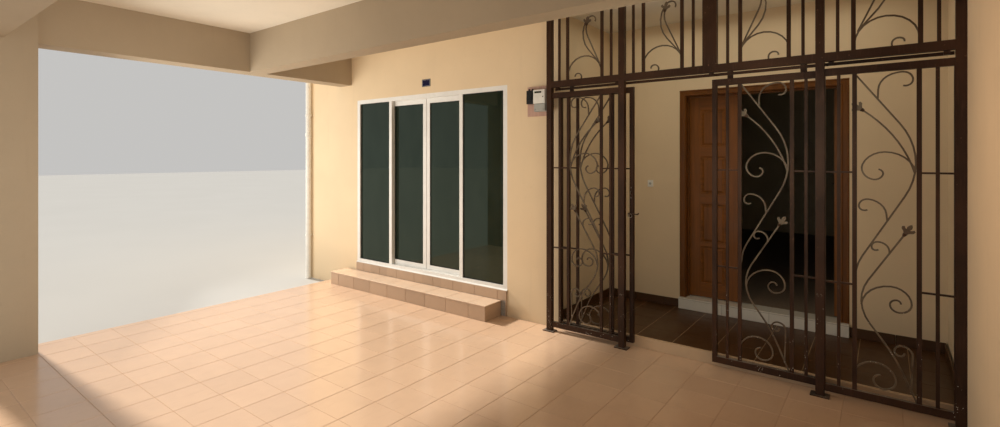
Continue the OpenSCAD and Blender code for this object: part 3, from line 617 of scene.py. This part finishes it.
# Tiled floors, steps and sills

GROUT_DEPTH = 0.0016


def tiled_floor(name, node, slot, top_finish, bed_finish, rim, cut):
    """A node as tiles over a bed that shows in the joints and as a rim at the front."""
    low, high, size = extent(node)
    shape = Shape()
    shape.box(low, (high.x, high.y, high.z - GROUT_DEPTH), 1)
    shape.tiles((low.x, low.y + rim, high.z), X, Y, (size[0], size[1] - rim), BOTH_WAYS, cut)
    shape.make(name, slot, top_finish, bed_finish, replaces=node)


tiled_floor("porch_floor_tiles", "porch_floor", "floor_tile", peach_tile, grout, 0, PORCH_CUT)

STEP_BED = 0.009
RISER_IN = 0.004
low, high, size = extent("front_step")
riser_height = size[2] - 0.011
step = Shape()
step.box((low.x + STEP_BED, low.y + STEP_BED, low.z), (high.x - STEP_BED, high.y, high.z - GROUT_DEPTH), 2)
step.tiles((low.x, low.y, high.z), X, Y, size, ONE_WAY, (STEP_CUT, 0))
for x, y, along, length, pitch, cut in (
        (low.x + RISER_IN, low.y + RISER_IN, X, size[0] - 2 * RISER_IN, FLOOR_PITCH, STEP_CUT),
        (high.x - RISER_IN, low.y + RISER_IN, Y, size[1] - RISER_IN, NO_JOINT, 0),
        (low.x + RISER_IN, high.y, -Y, size[1] - RISER_IN, NO_JOINT, 0)):
    step.tiles((x, y, low.z), along, Z, (length, riser_height), (pitch, NO_JOINT), (cut, 0), 1, 0.006)
step.make("front_step_tiles", "floor_tile", step_tile, brick_tile, grout, replaces="front_step")

SILL_BED = 0.008
SILL_END_UP = 0.1
step_top = high.z
wall_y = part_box("front_wall_head")[0].y
low, high, size = extent("slider_sill")
sill = Shape()
sill.box((low.x, wall_y - SILL_BED, low.z), high, 1)
sill.tiles((low.x, low.y, step_top), X, Z, (size[0], high.z - step_top), ONE_WAY, (STEP_CUT, 0),
           thick=wall_y - low.y)
sill.tiles((high.x, low.y, low.z + SILL_END_UP), Y, Z, (wall_y - low.y, size[2] - SILL_END_UP),
           (NO_JOINT, NO_JOINT), thick=0.01)
sill.make("slider_sill_tiles", "band_tile", brick_tile, rough_cement, replaces="slider_sill")

tiled_floor("recess_floor_tiles", "entry_floor", "entry_tile", dark_tile, kerb_paint, RECESS_RIM, RECESS_CUT)

SKIRT_H = 0.085
SKIRT_T = 0.01
low, high, size = extent("entry_floor")
door_low, door_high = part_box("entry_threshold")
skirting = Shape()
for x, y, along, length in (
        (low.x + SKIRT_T, high.y, -Y, size[1]),
        (high.x - SKIRT_T, low.y, Y, size[1]),
        (low.x + SKIRT_T, high.y - SKIRT_T, X, door_low.x - (low.x + SKIRT_T)),
        (door_high.x, high.y - SKIRT_T, X, high.x - SKIRT_T - door_high.x)):
    skirting.tiles((x, y, high.z), along, Z, (length, SKIRT_H), ONE_WAY, thick=SKIRT_T)
skirting.make("recess_skirting", "entry_tile", dark_tile)

FACE_UP = 0.19
FACE_H = 0.097
END_DEPTH = 0.05
low, high, size = extent("entry_threshold")
threshold = Shape()
threshold.box((low.x, low.y + 0.008, low.z), (high.x, high.y, high.z - 0.002), 1)
threshold.tiles((low.x, low.y, high.z), X, Y, size, (THRESHOLD_PITCH, NO_JOINT), thick=0.01)
for x, y, along, length, pitch, thick in (
        (low.x, low.y, X, size[0], THRESHOLD_PITCH, 0.007),
        (low.x, low.y + END_DEPTH, -Y, END_DEPTH, NO_JOINT, 0.004),
        (high.x, low.y, Y, END_DEPTH, NO_JOINT, 0.004)):
    threshold.tiles((x, y, low.z + FACE_UP), along, Z, (length, FACE_H), (pitch, NO_JOINT), thick=thick)
threshold.make("threshold_tiles", "white_stone", pale_tile, rough_cement, replaces="entry_threshold")

# Sliding door and windows: seals round the panes, tracks, and sills

SEAL = 0.006
SEAL_NEAR = 0.0032
SEAL_FAR = 0.010


def pane_seals(shape, low, high, across):
    """A rubber strip round both faces of one pane, where across is the pane's thin axis."""
    wide = 1 - across
    mid = (low[across] + high[across]) / 2
    for side in (-1, 1):
        near, far = sorted((mid + side * SEAL_NEAR, mid + side * SEAL_FAR))
        for corner, axis, edge in ((1, wide, low[wide] + SEAL), (0, wide, high[wide] - SEAL),
                                   (1, 2, low[2] + SEAL), (0, 2, high[2] - SEAL)):
            strip = (list(low), list(high))
            strip[0][across], strip[1][across] = near, far
            strip[corner][axis] = edge
            shape.box(*strip)


def panes_of(node):
    """Lowest and highest corner of each separate part of a node."""
    bm = bmesh.new()
    bm.from_mesh(nodes[node].data)
    bmesh.ops.remove_doubles(bm, verts=bm.verts, dist=1e-5)
    found, seen = [], set()
    for start in bm.verts:
        if start in seen:
            continue
        group = [start]
        seen.add(start)
        for vert in group:
            joined = [v for edge in vert.link_edges for v in edge.verts if v not in seen]
            seen.update(joined)
            group += joined
        corners = [vert.co for vert in group]
        found.append((Vector(map(min, *corners)), Vector(map(max, *corners))))
    bm.free()
    return found


for name, node, body in (
        ("fixed_light_seals", "fixed_glass", HOUSE),
        ("left_leaf_seals", "left_slider_glass", "left_sliding_leaf"),
        ("right_leaf_seals", "right_slider_glass", "right_sliding_leaf"),
        ("window_seals", "window_glass", HOUSE)):
    seals = Shape()
    for low, high in panes_of(node):
        pane_seals(seals, low, high, 0 if high.x - low.x < high.y - low.y else 1)
    seals.make(name, "white_aluminium", black_rubber, body=body)

RAIL_IN = 0.05
RAIL_W = 0.004
DRIP = ((-0.014, -0.004), (0.002, -0.004), (0.002, 0.016), (-0.001, 0.012), (-0.014, 0.003))
DRIP_PAST = 0.004
low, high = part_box("slider_frame")
track = Shape()
for y in (high.y - 0.046, high.y - 0.020):
    for z0, z1 in ((low.z + 0.044, low.z + 0.051), (high.z - 0.056, high.z - 0.049)):
        track.box((low.x + RAIL_IN, y, z0), (high.x - RAIL_IN, y + RAIL_W, z1))
track.prism([(low.y + a, low.z + b) for a, b in DRIP], 0, low.x - DRIP_PAST, high.x + DRIP_PAST)
track.make("slider_tracks", "white_aluminium", white_coat, bevel=0.0008)

SILL_PROFILE = ((0.05, -0.055), (0.05, -0.012), (-0.04, 0.0), (-0.04, -0.055))
SILL_PAST = 0.04
outer_low, outer_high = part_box("right_wall")
sills = Shape()
for low, high in panes_of("window_frames"):
    if high.x - low.x < high.y - low.y:
        out, middle, width = X, Vector((outer_high.x, (low.y + high.y) / 2, low.z)), high.y - low.y
    else:
        out = Y if low.y > 0 else -Y
        middle = Vector(((low.x + high.x) / 2, outer_high.y if low.y > 0 else outer_low.y, low.z))
        width = high.x - low.x
    along = Z.cross(out)
    ends = [middle + along * side * (width / 2 + SILL_PAST) for side in (-1, 1)]
    sills.shell([end + out * a + Z * b for end in ends for a, b in SILL_PROFILE], BOX_FACES)
sills.make("window_sills", "plaster", wall_paint, bevel=0.004)

# Timber door

LEAF_STILE = 0.105
LEAF_T = 0.04
HINGE_OUT = 0.01
SMALL_HINGE = (-0.449, -0.46)
MAIN_HINGE = (0.811, -0.46)
PANEL_ROWS = ((0.132, 0.512), (0.547, 0.942), (1.042, 1.422), (1.522, 1.892))
MOULDING = ((0.0, 0.0), (0.003, 0.003), (0.008, 0.0045), (0.011, 0.0078), (0.017, 0.0078),
            (0.031, 0.0025), (0.034, 0.0012))
HINGE_ZS = (0.180, 0.980, 1.760)
HINGE_H = 0.09
STRAP_X = (0.002, 0.034)
STRAP_T = 0.0045
STRAP_END = 0.002
STRAP_SCREW_X = 0.021
SCREW_ZS = (0.014, 0.045, 0.076)
KNUCKLE_H = 0.018
KNUCKLE = ((0.006, 0.0005), (0.006, 0.0175), (0.0053, KNUCKLE_H))
STRAP_SCREW = ((0.0038, -0.001), (0.0034, 0.0008), (0.0012, 0.0013), (0, 0.0006))
FRAME_SCREW = ((0.0038, -0.001), (0.0034, 0.0008), (0, 0.0012))


def leaf_mesh(shape, width, columns, base, height, place):
    """Both faces and the edges of a leaf that is drawn from its hinge along +X."""
    field = (width - LEAF_STILE * (columns + 1)) / columns
    xs = [0.0]
    for _ in range(columns):
        xs += [xs[-1] + LEAF_STILE, xs[-1] + LEAF_STILE + field]
    xs.append(width)
    zs = [0.0] + [z for row in PANEL_ROWS for z in row] + [height]
    y0, y1, top = -HINGE_OUT - LEAF_T, -HINGE_OUT, base + height
    for y, inward in ((y0, 1), (y1, -1)):
        for i, (x0, x1) in enumerate(zip(xs, xs[1:])):
            for j, (z0, z1) in enumerate(zip(zs, zs[1:])):
                is_panel = i % 2 == 1 and j % 2 == 1
                rings = [[place((x, y + inward * deep, z))
                          for x, z in ((x0 + a, base + z0 + a), (x1 - a, base + z0 + a),
                                       (x1 - a, base + z1 - a), (x0 + a, base + z1 - a))]
                         for a, deep in (MOULDING if is_panel else MOULDING[:1])]
                for outer, inner in zip(rings, rings[1:]):
                    for k in range(4):
                        n = (k + 1) % 4
                        shape.face((outer[k], outer[n], inner[n], inner[k]), k % 2)
                shape.face(rings[-1], 1 if i % 2 == 1 and not is_panel else 0)
    rim = ((0, base), (width, base), (width, top), (0, top))
    for (xa, za), (xb, zb) in zip(rim, rim[1:] + rim[:1]):
        shape.face([place(p) for p in ((xa, y0, za), (xb, y0, zb), (xb, y1, zb), (xa, y1, za))])
    bmesh.ops.remove_doubles(shape.bm, verts=shape.bm.verts, dist=1e-5)


def leaf_hinges(shape, base, place):
    """Pin, knuckles and the screwed strap of each hinge on the leaf's room face."""
    strap_y = -HINGE_OUT + STRAP_T
    for z in HINGE_ZS:
        bottom = base + z
        a = place((STRAP_X[0], -HINGE_OUT, bottom + STRAP_END))
        b = place((STRAP_X[1], strap_y, bottom + HINGE_H - STRAP_END))
        shape.box([min(p) for p in zip(a, b)], [max(p) for p in zip(a, b)])
        profile = [(0, -0.005), (0.004, -0.004), (0.0045, 0)]
        for k in range(5):
            profile += [(radius, k * KNUCKLE_H + up) for radius, up in KNUCKLE]
        profile += [(0.0045, HINGE_H), (0.004, HINGE_H + 0.004), (0, HINGE_H + 0.005)]
        shape.turned(profile, place((0, 0, bottom)), Z, steps=16)
        for up in SCREW_ZS:
            centre = Vector(place((STRAP_SCREW_X, strap_y, bottom + up)))
            out = Vector(place((STRAP_SCREW_X, 1, bottom + up))) - centre
            shape.turned(STRAP_SCREW, centre, out)


low, high, size = extent("small_door_leaf")
leaf_base = low.z
places = {
    "small": lambda p: (SMALL_HINGE[0] + p[0], SMALL_HINGE[1] + p[1], p[2]),
    "main": lambda p: (MAIN_HINGE[0] + p[1], MAIN_HINGE[1] + p[0], p[2]),
}
for kind, width, columns, rails in (("small", 0.445, 1, wood_across), ("main", 0.807, 2, wood_inward)):
    leaf = Shape(12)
    leaf_mesh(leaf, width, columns, leaf_base, size[2], places[kind])
    leaf.make(f"{kind}_panelled_leaf", "brown_timber", wood_up, rails, body=f"{kind}_leaf",
              replaces=f"{kind}_door_leaf")
    hinges = Shape()
    leaf_hinges(hinges, leaf_base, places[kind])
    hinges.make(f"{kind}_leaf_hinges", "door_furniture", satin_steel, body=f"{kind}_leaf", bevel=0.0006)

JAMB_W = 0.06
STOP = 0.012
STOP_GAP = 0.006
STOP_DEEP = 0.03
BEAD_W = 0.016
BEAD_T = 0.008
BEAD = ((0, 0.001), (0.003, -BEAD_T * 0.7), (BEAD_W / 2, -BEAD_T), (BEAD_W - 0.003, -BEAD_T * 0.7),
        (BEAD_W, 0.001))
low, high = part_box("door_frame")
trim = Shape()
stop_back = high.y - LEAF_T - STOP_GAP
stop_front = stop_back - STOP_DEEP
left, right, head = low.x + JAMB_W, high.x - JAMB_W, high.z - JAMB_W
trim.box((left, stop_front, low.z), (left + STOP, stop_back, head))
trim.box((right - STOP, stop_front, low.z), (right, stop_back, head))
trim.box((left + STOP, stop_front, head - STOP), (right - STOP, stop_back, head), 1)
for x in (low.x, left - BEAD_W, right, high.x - BEAD_W):
    trim.prism([(x + a, low.y + b) for a, b in BEAD], 2, low.z, head)
for z, x0, x1 in ((head, left - BEAD_W, right + BEAD_W), (high.z - BEAD_W, low.x, high.x)):
    trim.prism([(low.y + b, z + a) for a, b in BEAD], 0, x0, x1, 1)
trim.make("door_frame_trim", "brown_timber", wood_frame, wood_frame_across, bevel=0.0015)

HALF_T = 0.003
fixed_halves = Shape()
for x0, x1 in ((low.x + 0.024, low.x + 0.054), (high.x - 0.054, high.x - 0.024)):
    for z in HINGE_ZS:
        bottom = leaf_base + z + STRAP_END
        fixed_halves.box((x0, high.y, bottom), (x1, high.y + HALF_T, bottom + HINGE_H - 2 * STRAP_END))
        for up in SCREW_ZS:
            fixed_halves.turned(FRAME_SCREW, ((x0 + x1) / 2, high.y + HALF_T, bottom + up), Y)
fixed_halves.make("door_frame_hinges", "door_furniture", satin_steel, bevel=0.0006)

# Roof: tiles in courses and ridge tiles

EAVE_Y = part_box("roof_back")[1].y
STEP_Y = 2.2
ROOF_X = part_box("barge_boards")[1].x
PORCH_ROOF_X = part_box("porch_gable_wall")[0].x - 0.175
TILE_UNDER = -0.004
TILE_NOSE = 0.021
TILE_HEAD = 0.002
TILE_LAP = 0.02
NOSE_ROUND = 0.003
NOSE_BACK = 0.004
COURSE_MIN = 0.08
ROLL_H = 0.024
ROLL_STEPS = 10
VERGE_IN = 0.002
ridge_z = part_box("roof_back")[1].z
slope_len = EAVE_Y / cos(ROOF_PITCH)


def tile_height(x):
    """Height of the tile's skin over the roof plane: two rolls and a lapped edge to each tile."""
    share = (x / ROOF_TILE_W) % 1.0
    roll = (0.5 - 0.5 * cos(share * 4 * pi)) ** 1.4
    return ROLL_H * roll + 0.003 * share


def tiled_slope(name, facing):
    """One slope of the roof: facing is -1 for the front and 1 for the back."""
    def at(x, up, lift):
        y = EAVE_Y - up * cos(ROOF_PITCH) + lift * sin(ROOF_PITCH)
        z = ridge_z - (slope_len - up) * sin(ROOF_PITCH)
        return x, facing * y, z + lift * cos(ROOF_PITCH)

    shape = Shape(50)
    courses = int(slope_len / ROOF_COURSE) + 1
    step_up = (EAVE_Y - STEP_Y) / cos(ROOF_PITCH)
    right = ROOF_X - VERGE_IN
    for course in range(courses):
        start = slope_len - RIDGE_GAP - (courses - course) * ROOF_COURSE
        end = min(start + ROOF_COURSE + TILE_LAP, slope_len - 0.05)
        start = max(start, 0.001)
        if end - start < COURSE_MIN:
            continue
        left = VERGE_IN + (-ROOF_X if facing > 0 or start > step_up - 0.1 else PORCH_ROOF_X)
        columns = []
        for t in range(floor(left / ROOF_TILE_W), ceil(ROOF_X / ROOF_TILE_W)):
            chance = dice.uniform(0, 0.003)
            tip = dice.uniform(-0.0015, 0.0015)
            for k in range(ROLL_STEPS + 1):
                x = (t + min(k / ROLL_STEPS, 0.999)) * ROOF_TILE_W
                if left < x < right:
                    columns.append((x, tile_height(x) + chance, tip))
        columns = [(left, columns[0][1], 0)] + columns + [(right, columns[-1][1], 0)]
        rows = [[at(x, start, TILE_UNDER + h * 0.4) for x, h, _ in columns]]
        nose, lap = start + NOSE_BACK, end - TILE_LAP
        for up, lift in ((start, TILE_NOSE - NOSE_ROUND), (nose, TILE_NOSE), (end, TILE_HEAD)):
            rows.append([at(x, up, lift + h + tip) for x, h, tip in columns])
        shape.sheet(rows)
        fall = (TILE_HEAD - TILE_NOSE) * (lap - nose) / (end - nose)
        for x, h, _ in (columns[0], columns[-1]):
            shape.face([at(x, up, lift) for up, lift in (
                (start, 0), (start, TILE_NOSE - NOSE_ROUND + h), (nose, TILE_NOSE + h),
                (lap, TILE_NOSE + h + fall), (lap, 0))])
    shape.make(name, "roof_tile", roof_finish)


tiled_slope("front_roof_tiles", -1)
tiled_slope("back_roof_tiles", 1)

RIDGE_R = 0.118
RIDGE_BODY_R = RIDGE_R - 0.012
RIDGE_LEN = 0.42
RIDGE_SIDES = 14
RIDGE_FLANGE = 0.045
MORTAR = ((0.10, -0.02), (0.160, -0.030), (0.172, -0.085), (0.06, -0.02))
low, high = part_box("ridge_cap")
ridge = Shape()
ridge_mid = high.z - RIDGE_R
ridge_count = round((high.x - low.x) / RIDGE_LEN)
span = (high.x - low.x) / ridge_count


def ridge_ring(x, radius, drop):
    """The arch of a ridge tile at x, with a flange at each foot."""
    mid = ridge_mid - drop
    foot = radius * 1.32
    turns = [pi * k / RIDGE_SIDES for k in range(RIDGE_SIDES + 1)]
    arch = [(x, -radius * cos(a), mid + radius * sin(a)) for a in turns]
    return [(x, -foot, mid - RIDGE_FLANGE)] + arch + [(x, foot, mid - RIDGE_FLANGE)]


for k in range(ridge_count):
    x0 = low.x + k * span
    x1 = x0 + span
    drop = dice.uniform(0.001, 0.004)
    rows = ridge.sheet(ridge_ring(x, radius, drop) for x, radius in (
        (x0, RIDGE_BODY_R - 0.012), (x0, RIDGE_BODY_R), (x1 - 0.075, RIDGE_BODY_R), (x1 - 0.07, RIDGE_R),
        (x1 - 0.002, RIDGE_R), (x1, RIDGE_R - 0.004), (x1, RIDGE_BODY_R - 0.012)))
    if k == 0:
        ridge.join(rows[0], 1)
    if k == ridge_count - 1:
        ridge.join(rows[-1], 1)
for side in (-1, 1):
    outline = [(side * out, ridge_mid + up) for out, up in MORTAR]
    ridge.prism(outline, 0, low.x + 0.01, high.x - 0.01, 1)
ridge.make("ridge_tiles", "roof_tile", roof_finish, ridge_mortar, replaces="ridge_cap")

# Rainwater pipe

PIPE_X = -5.25
PIPE_Y = -1.80
PIPE_R = 0.0375
SOCKET_ZS = (2.0, 3.9)
SOCKET = ((0, 0), (0.004, 0.004), (0.005, 0.06), (0.002, 0.066), (0, 0.067))
CLIP_ZS = (0.6, 2.3, 4.2)
CLIP_H = 0.03
CLIP_T = 0.006
CLIP_SCREW = ((0.005, 0), (0.005, 0.003), (0, 0.004))
CLIP_SCREW_XS = (-5.2947, -5.1948)
CLIP_SCREW_Y = -1.7495
pipe = Shape()
profile = [(0, 0), (PIPE_R, 0)]
profile += [(PIPE_R + out, z + up) for z in SOCKET_ZS for out, up in SOCKET]
pipe_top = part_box("corner_downpipe")[1].z
pipe.turned(profile + [(PIPE_R, pipe_top), (0, pipe_top)], (PIPE_X, PIPE_Y, 0), Z, steps=32)
for z in CLIP_ZS:
    pipe.turned(((PIPE_R, 0), (PIPE_R + CLIP_T, 0), (PIPE_R + CLIP_T, CLIP_H), (PIPE_R, CLIP_H)),
                (PIPE_X, PIPE_Y, z), Z, steps=32)
    pipe.box((PIPE_X - 0.012, PIPE_Y + PIPE_R, z + 0.003), (PIPE_X + 0.012, PIPE_Y + 0.05, z + 0.027))
    for x in CLIP_SCREW_XS:
        pipe.turned(CLIP_SCREW, (x, CLIP_SCREW_Y, z + CLIP_H / 2), -Y)
pipe.make("rainwater_pipe", "white_pvc", white_plastic, replaces="corner_downpipe", bevel=0.001)

# Meter board, meter, fuse and number plate

BOARD_SCREW = ((0.0045, -0.002), (0.0042, 0.0008), (0.001, 0.0016), (0, 0.0006))
SCREW_IN = 0.02
low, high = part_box("meter_board")
board = Shape()
board.box(low, high)
for x in (low.x + SCREW_IN, high.x - SCREW_IN):
    for z in (low.z + SCREW_IN, high.z - SCREW_IN):
        board.turned(BOARD_SCREW, (x, low.y, z), -Y, 1)
board.make("meter_board_painted", "pink_board", pink_board, steel, replaces="meter_board", bevel=0.0025)

FUSE_W = 0.074
FUSE_DEEP = 0.05
METER_W = 0.134
GLAND = ((0.009, -0.002), (0.009, 0.016), (0.007, 0.018), (0, 0.018))
METER_BUTTON = ((0.006, 0), (0.006, 0.002), (0.005, 0.0024), (0, 0.0024))
COVER_SCREW = ((0.006, 0), (0.006, 0.003), (0.002, 0.004), (0, 0.002))
units_low, units_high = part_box("meter_units")
units = Shape()
x0, x1 = units_low.x, units_low.x + FUSE_W
y, z0, z1 = low.y - FUSE_DEEP, low.z + 0.12, low.z + 0.25
units.box((x0, y, z0), (x1, low.y, z1), 1)
units.box((x0 + 0.008, y - 0.012, z0 + 0.03), (x1 - 0.008, y + 0.002, z1 - 0.022), 1)
for k in range(6):
    z = z0 + 0.042 + k * 0.008
    units.box((x0 + 0.018, y - 0.0145, z), (x1 - 0.018, y - 0.011, z + 0.004), 1)
for x in (x0 + 0.018, x0 + 0.056):
    units.turned(GLAND, (x, low.y - FUSE_DEEP / 2, z1), Z, 1, 14)
x0, x1, y, z0 = units_high.x - METER_W, units_high.x, units_low.y, low.z + 0.04
units.box((x0, y + 0.03, z0), (x1, low.y, z1))
units.box((x0 + 0.004, y + 0.002, z0 + 0.075), (x1 - 0.004, y + 0.032, z1 - 0.004), 2)
units.box((x0 + 0.014, y, z1 - 0.042), (x1 - 0.034, y + 0.004, z1 - 0.014), 2)
units.box((x0 + 0.019, y - 0.0003, z1 - 0.037), (x1 - 0.039, y + 0.002, z1 - 0.019), 3)
units.turned(METER_BUTTON, (x1 - 0.024, y + 0.002, z1 - 0.072), -Y, 1, 16)
units.box((x0 + 0.008, y + 0.012, z0 + 0.004), (x1 - 0.008, y + 0.034, z0 + 0.070))
for x in (x0 + 0.022, x1 - 0.022):
    units.turned(COVER_SCREW, (x, y + 0.012, z0 + 0.018), -Y, 4, 14)
units.make("meter_and_fuse", "meter_case", grey_plastic, black_plastic, white_plastic, dark_glass, steel,
           replaces="meter_units", bevel=0.003)

PLATE_LINE = 0.0025
PLATE_RIM = 0.006
PLATE_SCREW = ((0.003, 0), (0.0028, 0.0008), (0, 0.0012))
low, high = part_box("number_plate")
plate = Shape()
plate.box((low.x, low.y + 0.0006, low.z), high)
x0, x1, z0, z1 = low.x + PLATE_RIM, high.x - PLATE_RIM, low.z + PLATE_RIM, high.z - PLATE_RIM
for xa, za, xb, zb in ((x0, z0, x1, z0 + PLATE_LINE), (x0, z1 - PLATE_LINE, x1, z1),
                       (x0, z0, x0 + PLATE_LINE, z1), (x1 - PLATE_LINE, z0, x1, z1)):
    plate.box((xa, low.y, za), (xb, low.y + 0.001, zb), 1)
for x in (low.x + 0.016, high.x - 0.016):
    plate.turned(PLATE_SCREW, (x, low.y + 0.0008, (low.z + high.z) / 2), -Y, 2)
plate.make("number_plate_blank", "navy_plate", navy_enamel, pale_enamel, steel, replaces="number_plate")

# Gate hangers and the gate's bolt

TRACK_TOP = 2.369
WHEEL_Z = TRACK_TOP + 0.030
WHEEL_R = 0.0275
RIM_R = WHEEL_R - 0.002
GROOVE_R = WHEEL_R - 0.004
WHEEL = ((0, -0.0065), (RIM_R, -0.0065), (WHEEL_R, -0.0055), (WHEEL_R, -0.0045), (GROOVE_R, -0.002),
         (GROOVE_R, 0.002), (WHEEL_R, 0.0045), (WHEEL_R, 0.0055), (RIM_R, 0.0065), (0, 0.0065))
PIN_HEAD = ((0.009, 0.0065), (0.009, 0.0095), (0.003, 0.011), (0, 0.011))
NUT = ((0.0085, 0), (0.0085, 0.005), (0.0075, 0.006), (0, 0.006))
BOLT_HEAD = ((0.0085, 0), (0.0085, 0.004), (0, 0.005))
PLATE_HALF = 0.020
PLATE_TOP_HALF = 0.013
HANGER_T = 0.006
HANGER_IN = 0.12


def hanger(shape, x, front, back, gate_top):
    """A bolted plate behind the gate's top rail, with a grooved wheel on a pin."""
    mid = (front + back) / 2
    foot, shoulder, top = gate_top - 0.046, WHEEL_Z + 0.004, WHEEL_Z + 0.018
    shape.prism(((x - PLATE_HALF, foot), (x + PLATE_HALF, foot), (x + PLATE_HALF, shoulder),
                 (x + PLATE_TOP_HALF, top), (x - PLATE_TOP_HALF, top), (x - PLATE_HALF, shoulder)),
                1, back, back + HANGER_T)
    for z in (gate_top - 0.034, gate_top - 0.013):
        shape.turned(NUT, (x, back + HANGER_T, z), Y, steps=6)
        shape.turned(BOLT_HEAD, (x, front, z), -Y, steps=6)
    shape.turned(WHEEL, (x, mid, WHEEL_Z), Y, 1, 32)
    pin = back + 0.008 - mid
    shape.turned(((0.011, 0), (0.011, 0.003), (0.006, 0.004), (0.006, pin), (0.0095, pin),
                  (0.0095, pin + 0.005), (0, pin + 0.006)), (x, mid, WHEEL_Z), Y, steps=16)
    shape.turned(PIN_HEAD, (x, mid, WHEEL_Z), -Y, steps=16)


for side in ("left", "right"):
    low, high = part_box(f"{side}_gate")
    hangers = Shape()
    for x in (low.x + HANGER_IN, high.x - HANGER_IN):
        hanger(hangers, x, low.y, high.y, high.z)
    hangers.make(f"{side}_gate_rollers", "bare_steel", iron, steel, body=f"{side}_grille_gate",
                 replaces=f"{side}_gate_hangers", bevel=0.0008)

PAD_Z = 1.42
PAD_H = 0.055
PAD_SCREW_H = 0.043
PAD_SCREW = ((0.004, -0.001), (0.004, 0.002), (0, 0.003))
RING_Z = 1.24
RING_R = 0.015
low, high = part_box("left_gate")
edge = high.x
face = low.y
pad_x = edge - 0.0165
bolt = Shape()
bolt.box((edge - 0.030, face - 0.004, PAD_Z - PAD_H), (edge - 0.003, face + 0.001, PAD_Z + PAD_H), 1)
for z in (PAD_Z - PAD_SCREW_H, PAD_Z + PAD_SCREW_H):
    bolt.turned(PAD_SCREW, (pad_x, face - 0.004, z), -Y)
turns = [pi * k / 12 for k in range(13)]
bolt.tube([(pad_x, face - 0.003 - 0.020 * sin(a), PAD_Z + 0.016 * cos(a)) for a in turns], 0.0032,
          sides=8)
for x in (edge - 0.028, edge - 0.008):
    bolt.box((x - 0.004, face - 0.016, RING_Z - 0.011), (x + 0.004, face + 0.001, RING_Z + 0.011), 1)
bolt.tube([(edge + along, face - 0.009, RING_Z + up)
           for along, up in ((-0.042, 0), (0.040, 0), (0.046, 0.004), (0.048, 0.012))], 0.0055, 1)
turns = [tau * k / 20 for k in range(20)]
ring = [(edge - 0.018 + RING_R * cos(a), face - 0.019, RING_Z - 0.014 + RING_R * sin(a))
        for a in turns]
bolt.tube(ring + ring[:1], 0.003, sides=8)
bolt.make("gate_bolt", "bare_steel", steel, iron, body="left_grille_gate", bevel=0.0006)

# Bell push beside the door

BELL_HALF_W = 0.028
BELL_HALF_H = 0.035
BELL_T = 0.016
BELL_EASE = 0.005
BELL_FROM_FRAME = 0.268
BELL_DOWN = 0.455
BELL_BUTTON = ((0.0125, 0), (0.0125, 0.0012), (0.0105, 0.0012), (0.0105, 0.003), (0.009, 0.0042),
               (0, 0.0045))
wall_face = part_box("entry_back_walls")[0].y
low, high, size = extent("door_frame")
x = low.x - BELL_FROM_FRAME - BELL_HALF_W
z = high.z - BELL_DOWN * size[2]
bell = Shape()
for ease, front, back in ((0, wall_face - BELL_T * 0.6, wall_face),
                          (BELL_EASE, wall_face - BELL_T, wall_face - BELL_T * 0.5)):
    half_w, half_h = BELL_HALF_W - ease, BELL_HALF_H - ease
    bell.box((x - half_w, front, z - half_h), (x + half_w, back, z + half_h))
bell.turned(BELL_BUTTON, (x, wall_face - BELL_T, z), -Y, 1, 24)
bell.make("bell_push", "white_pvc", white_plastic, grey_plastic, bevel=0.0025)

# Backdrop, light and end

GROUND_HALF = 60
GROUND_TOP = -0.002
ground = Shape()
ground.box((-GROUND_HALF, -GROUND_HALF, -0.1), (GROUND_HALF, GROUND_HALF, GROUND_TOP))
studio = Finish("studio_pale_floor", (0.44, 0.435, 0.42), Roughness=0.7)
studio.layer(studio.noise(0.4, 3), (0.48, 0.475, 0.46))
ground.loose("studio_floor", studio.done())

WORLD_COLOUR = (1.0, 0.985, 0.96, 1)
world = bpy.data.worlds.new("studio")
scene.world = world
world.use_nodes = True
backdrop = world.node_tree.nodes["Background"].inputs
backdrop["Color"].default_value = WORLD_COLOUR
backdrop["Strength"].default_value = 1.0


def lamp(name, kind, energy, turn, at=(0, 0, 0), **settings):
    """A light that the camera and reflections don't see, turned by degrees."""
    light = bpy.data.lights.new(name, kind)
    light.energy = energy
    for key, value in settings.items():
        setattr(light, key, value)
    obj = bpy.data.objects.new(name, light)
    obj.location = at
    obj.rotation_euler = [radians(a) for a in turn]
    obj.visible_camera = False
    obj.visible_glossy = False
    scene.collection.objects.link(obj)


def panel_lamp(name, energy, turn, at, width, height, colour, spread=180):
    """A rectangular light with its spread in degrees."""
    lamp(name, "AREA", energy, turn, at, shape="RECTANGLE", size=width, size_y=height, color=colour,
         spread=radians(spread))


lamp("key_light", "SUN", 9.6, (55, 0, -87), angle=radians(4), color=(1.0, 0.95, 0.87))
panel_lamp("left_daylight", 88, (0, -98, 56), (-4.95, -4.2, 1.35), 2.0, 3.0, (1.0, 0.96, 0.88), 140)
panel_lamp("recess_fill", 14, (90, 0, 50), (0.45, -2.75, 1.8), 1.6, 1.0, (0.96, 1.0, 0.86))
panel_lamp("recess_top", 9, (0, 0, 0), (0.1, -1.2, 3.04), 2.2, 0.8, (1.0, 0.97, 0.82))
panel_lamp("column_fill", 34, (0, 88, 8), (0.9, -5.0, 1.5), 1.6, 1.2, (1.0, 0.97, 0.9), 80)
panel_lamp("side_fill", 8, (0, -90, 0), (0.15, -3.3, 1.8), 1.6, 2.0, (1.0, 0.70, 0.50), 110)

scene.view_settings.view_transform = "Standard"
scene.view_settings.exposure = -0.85
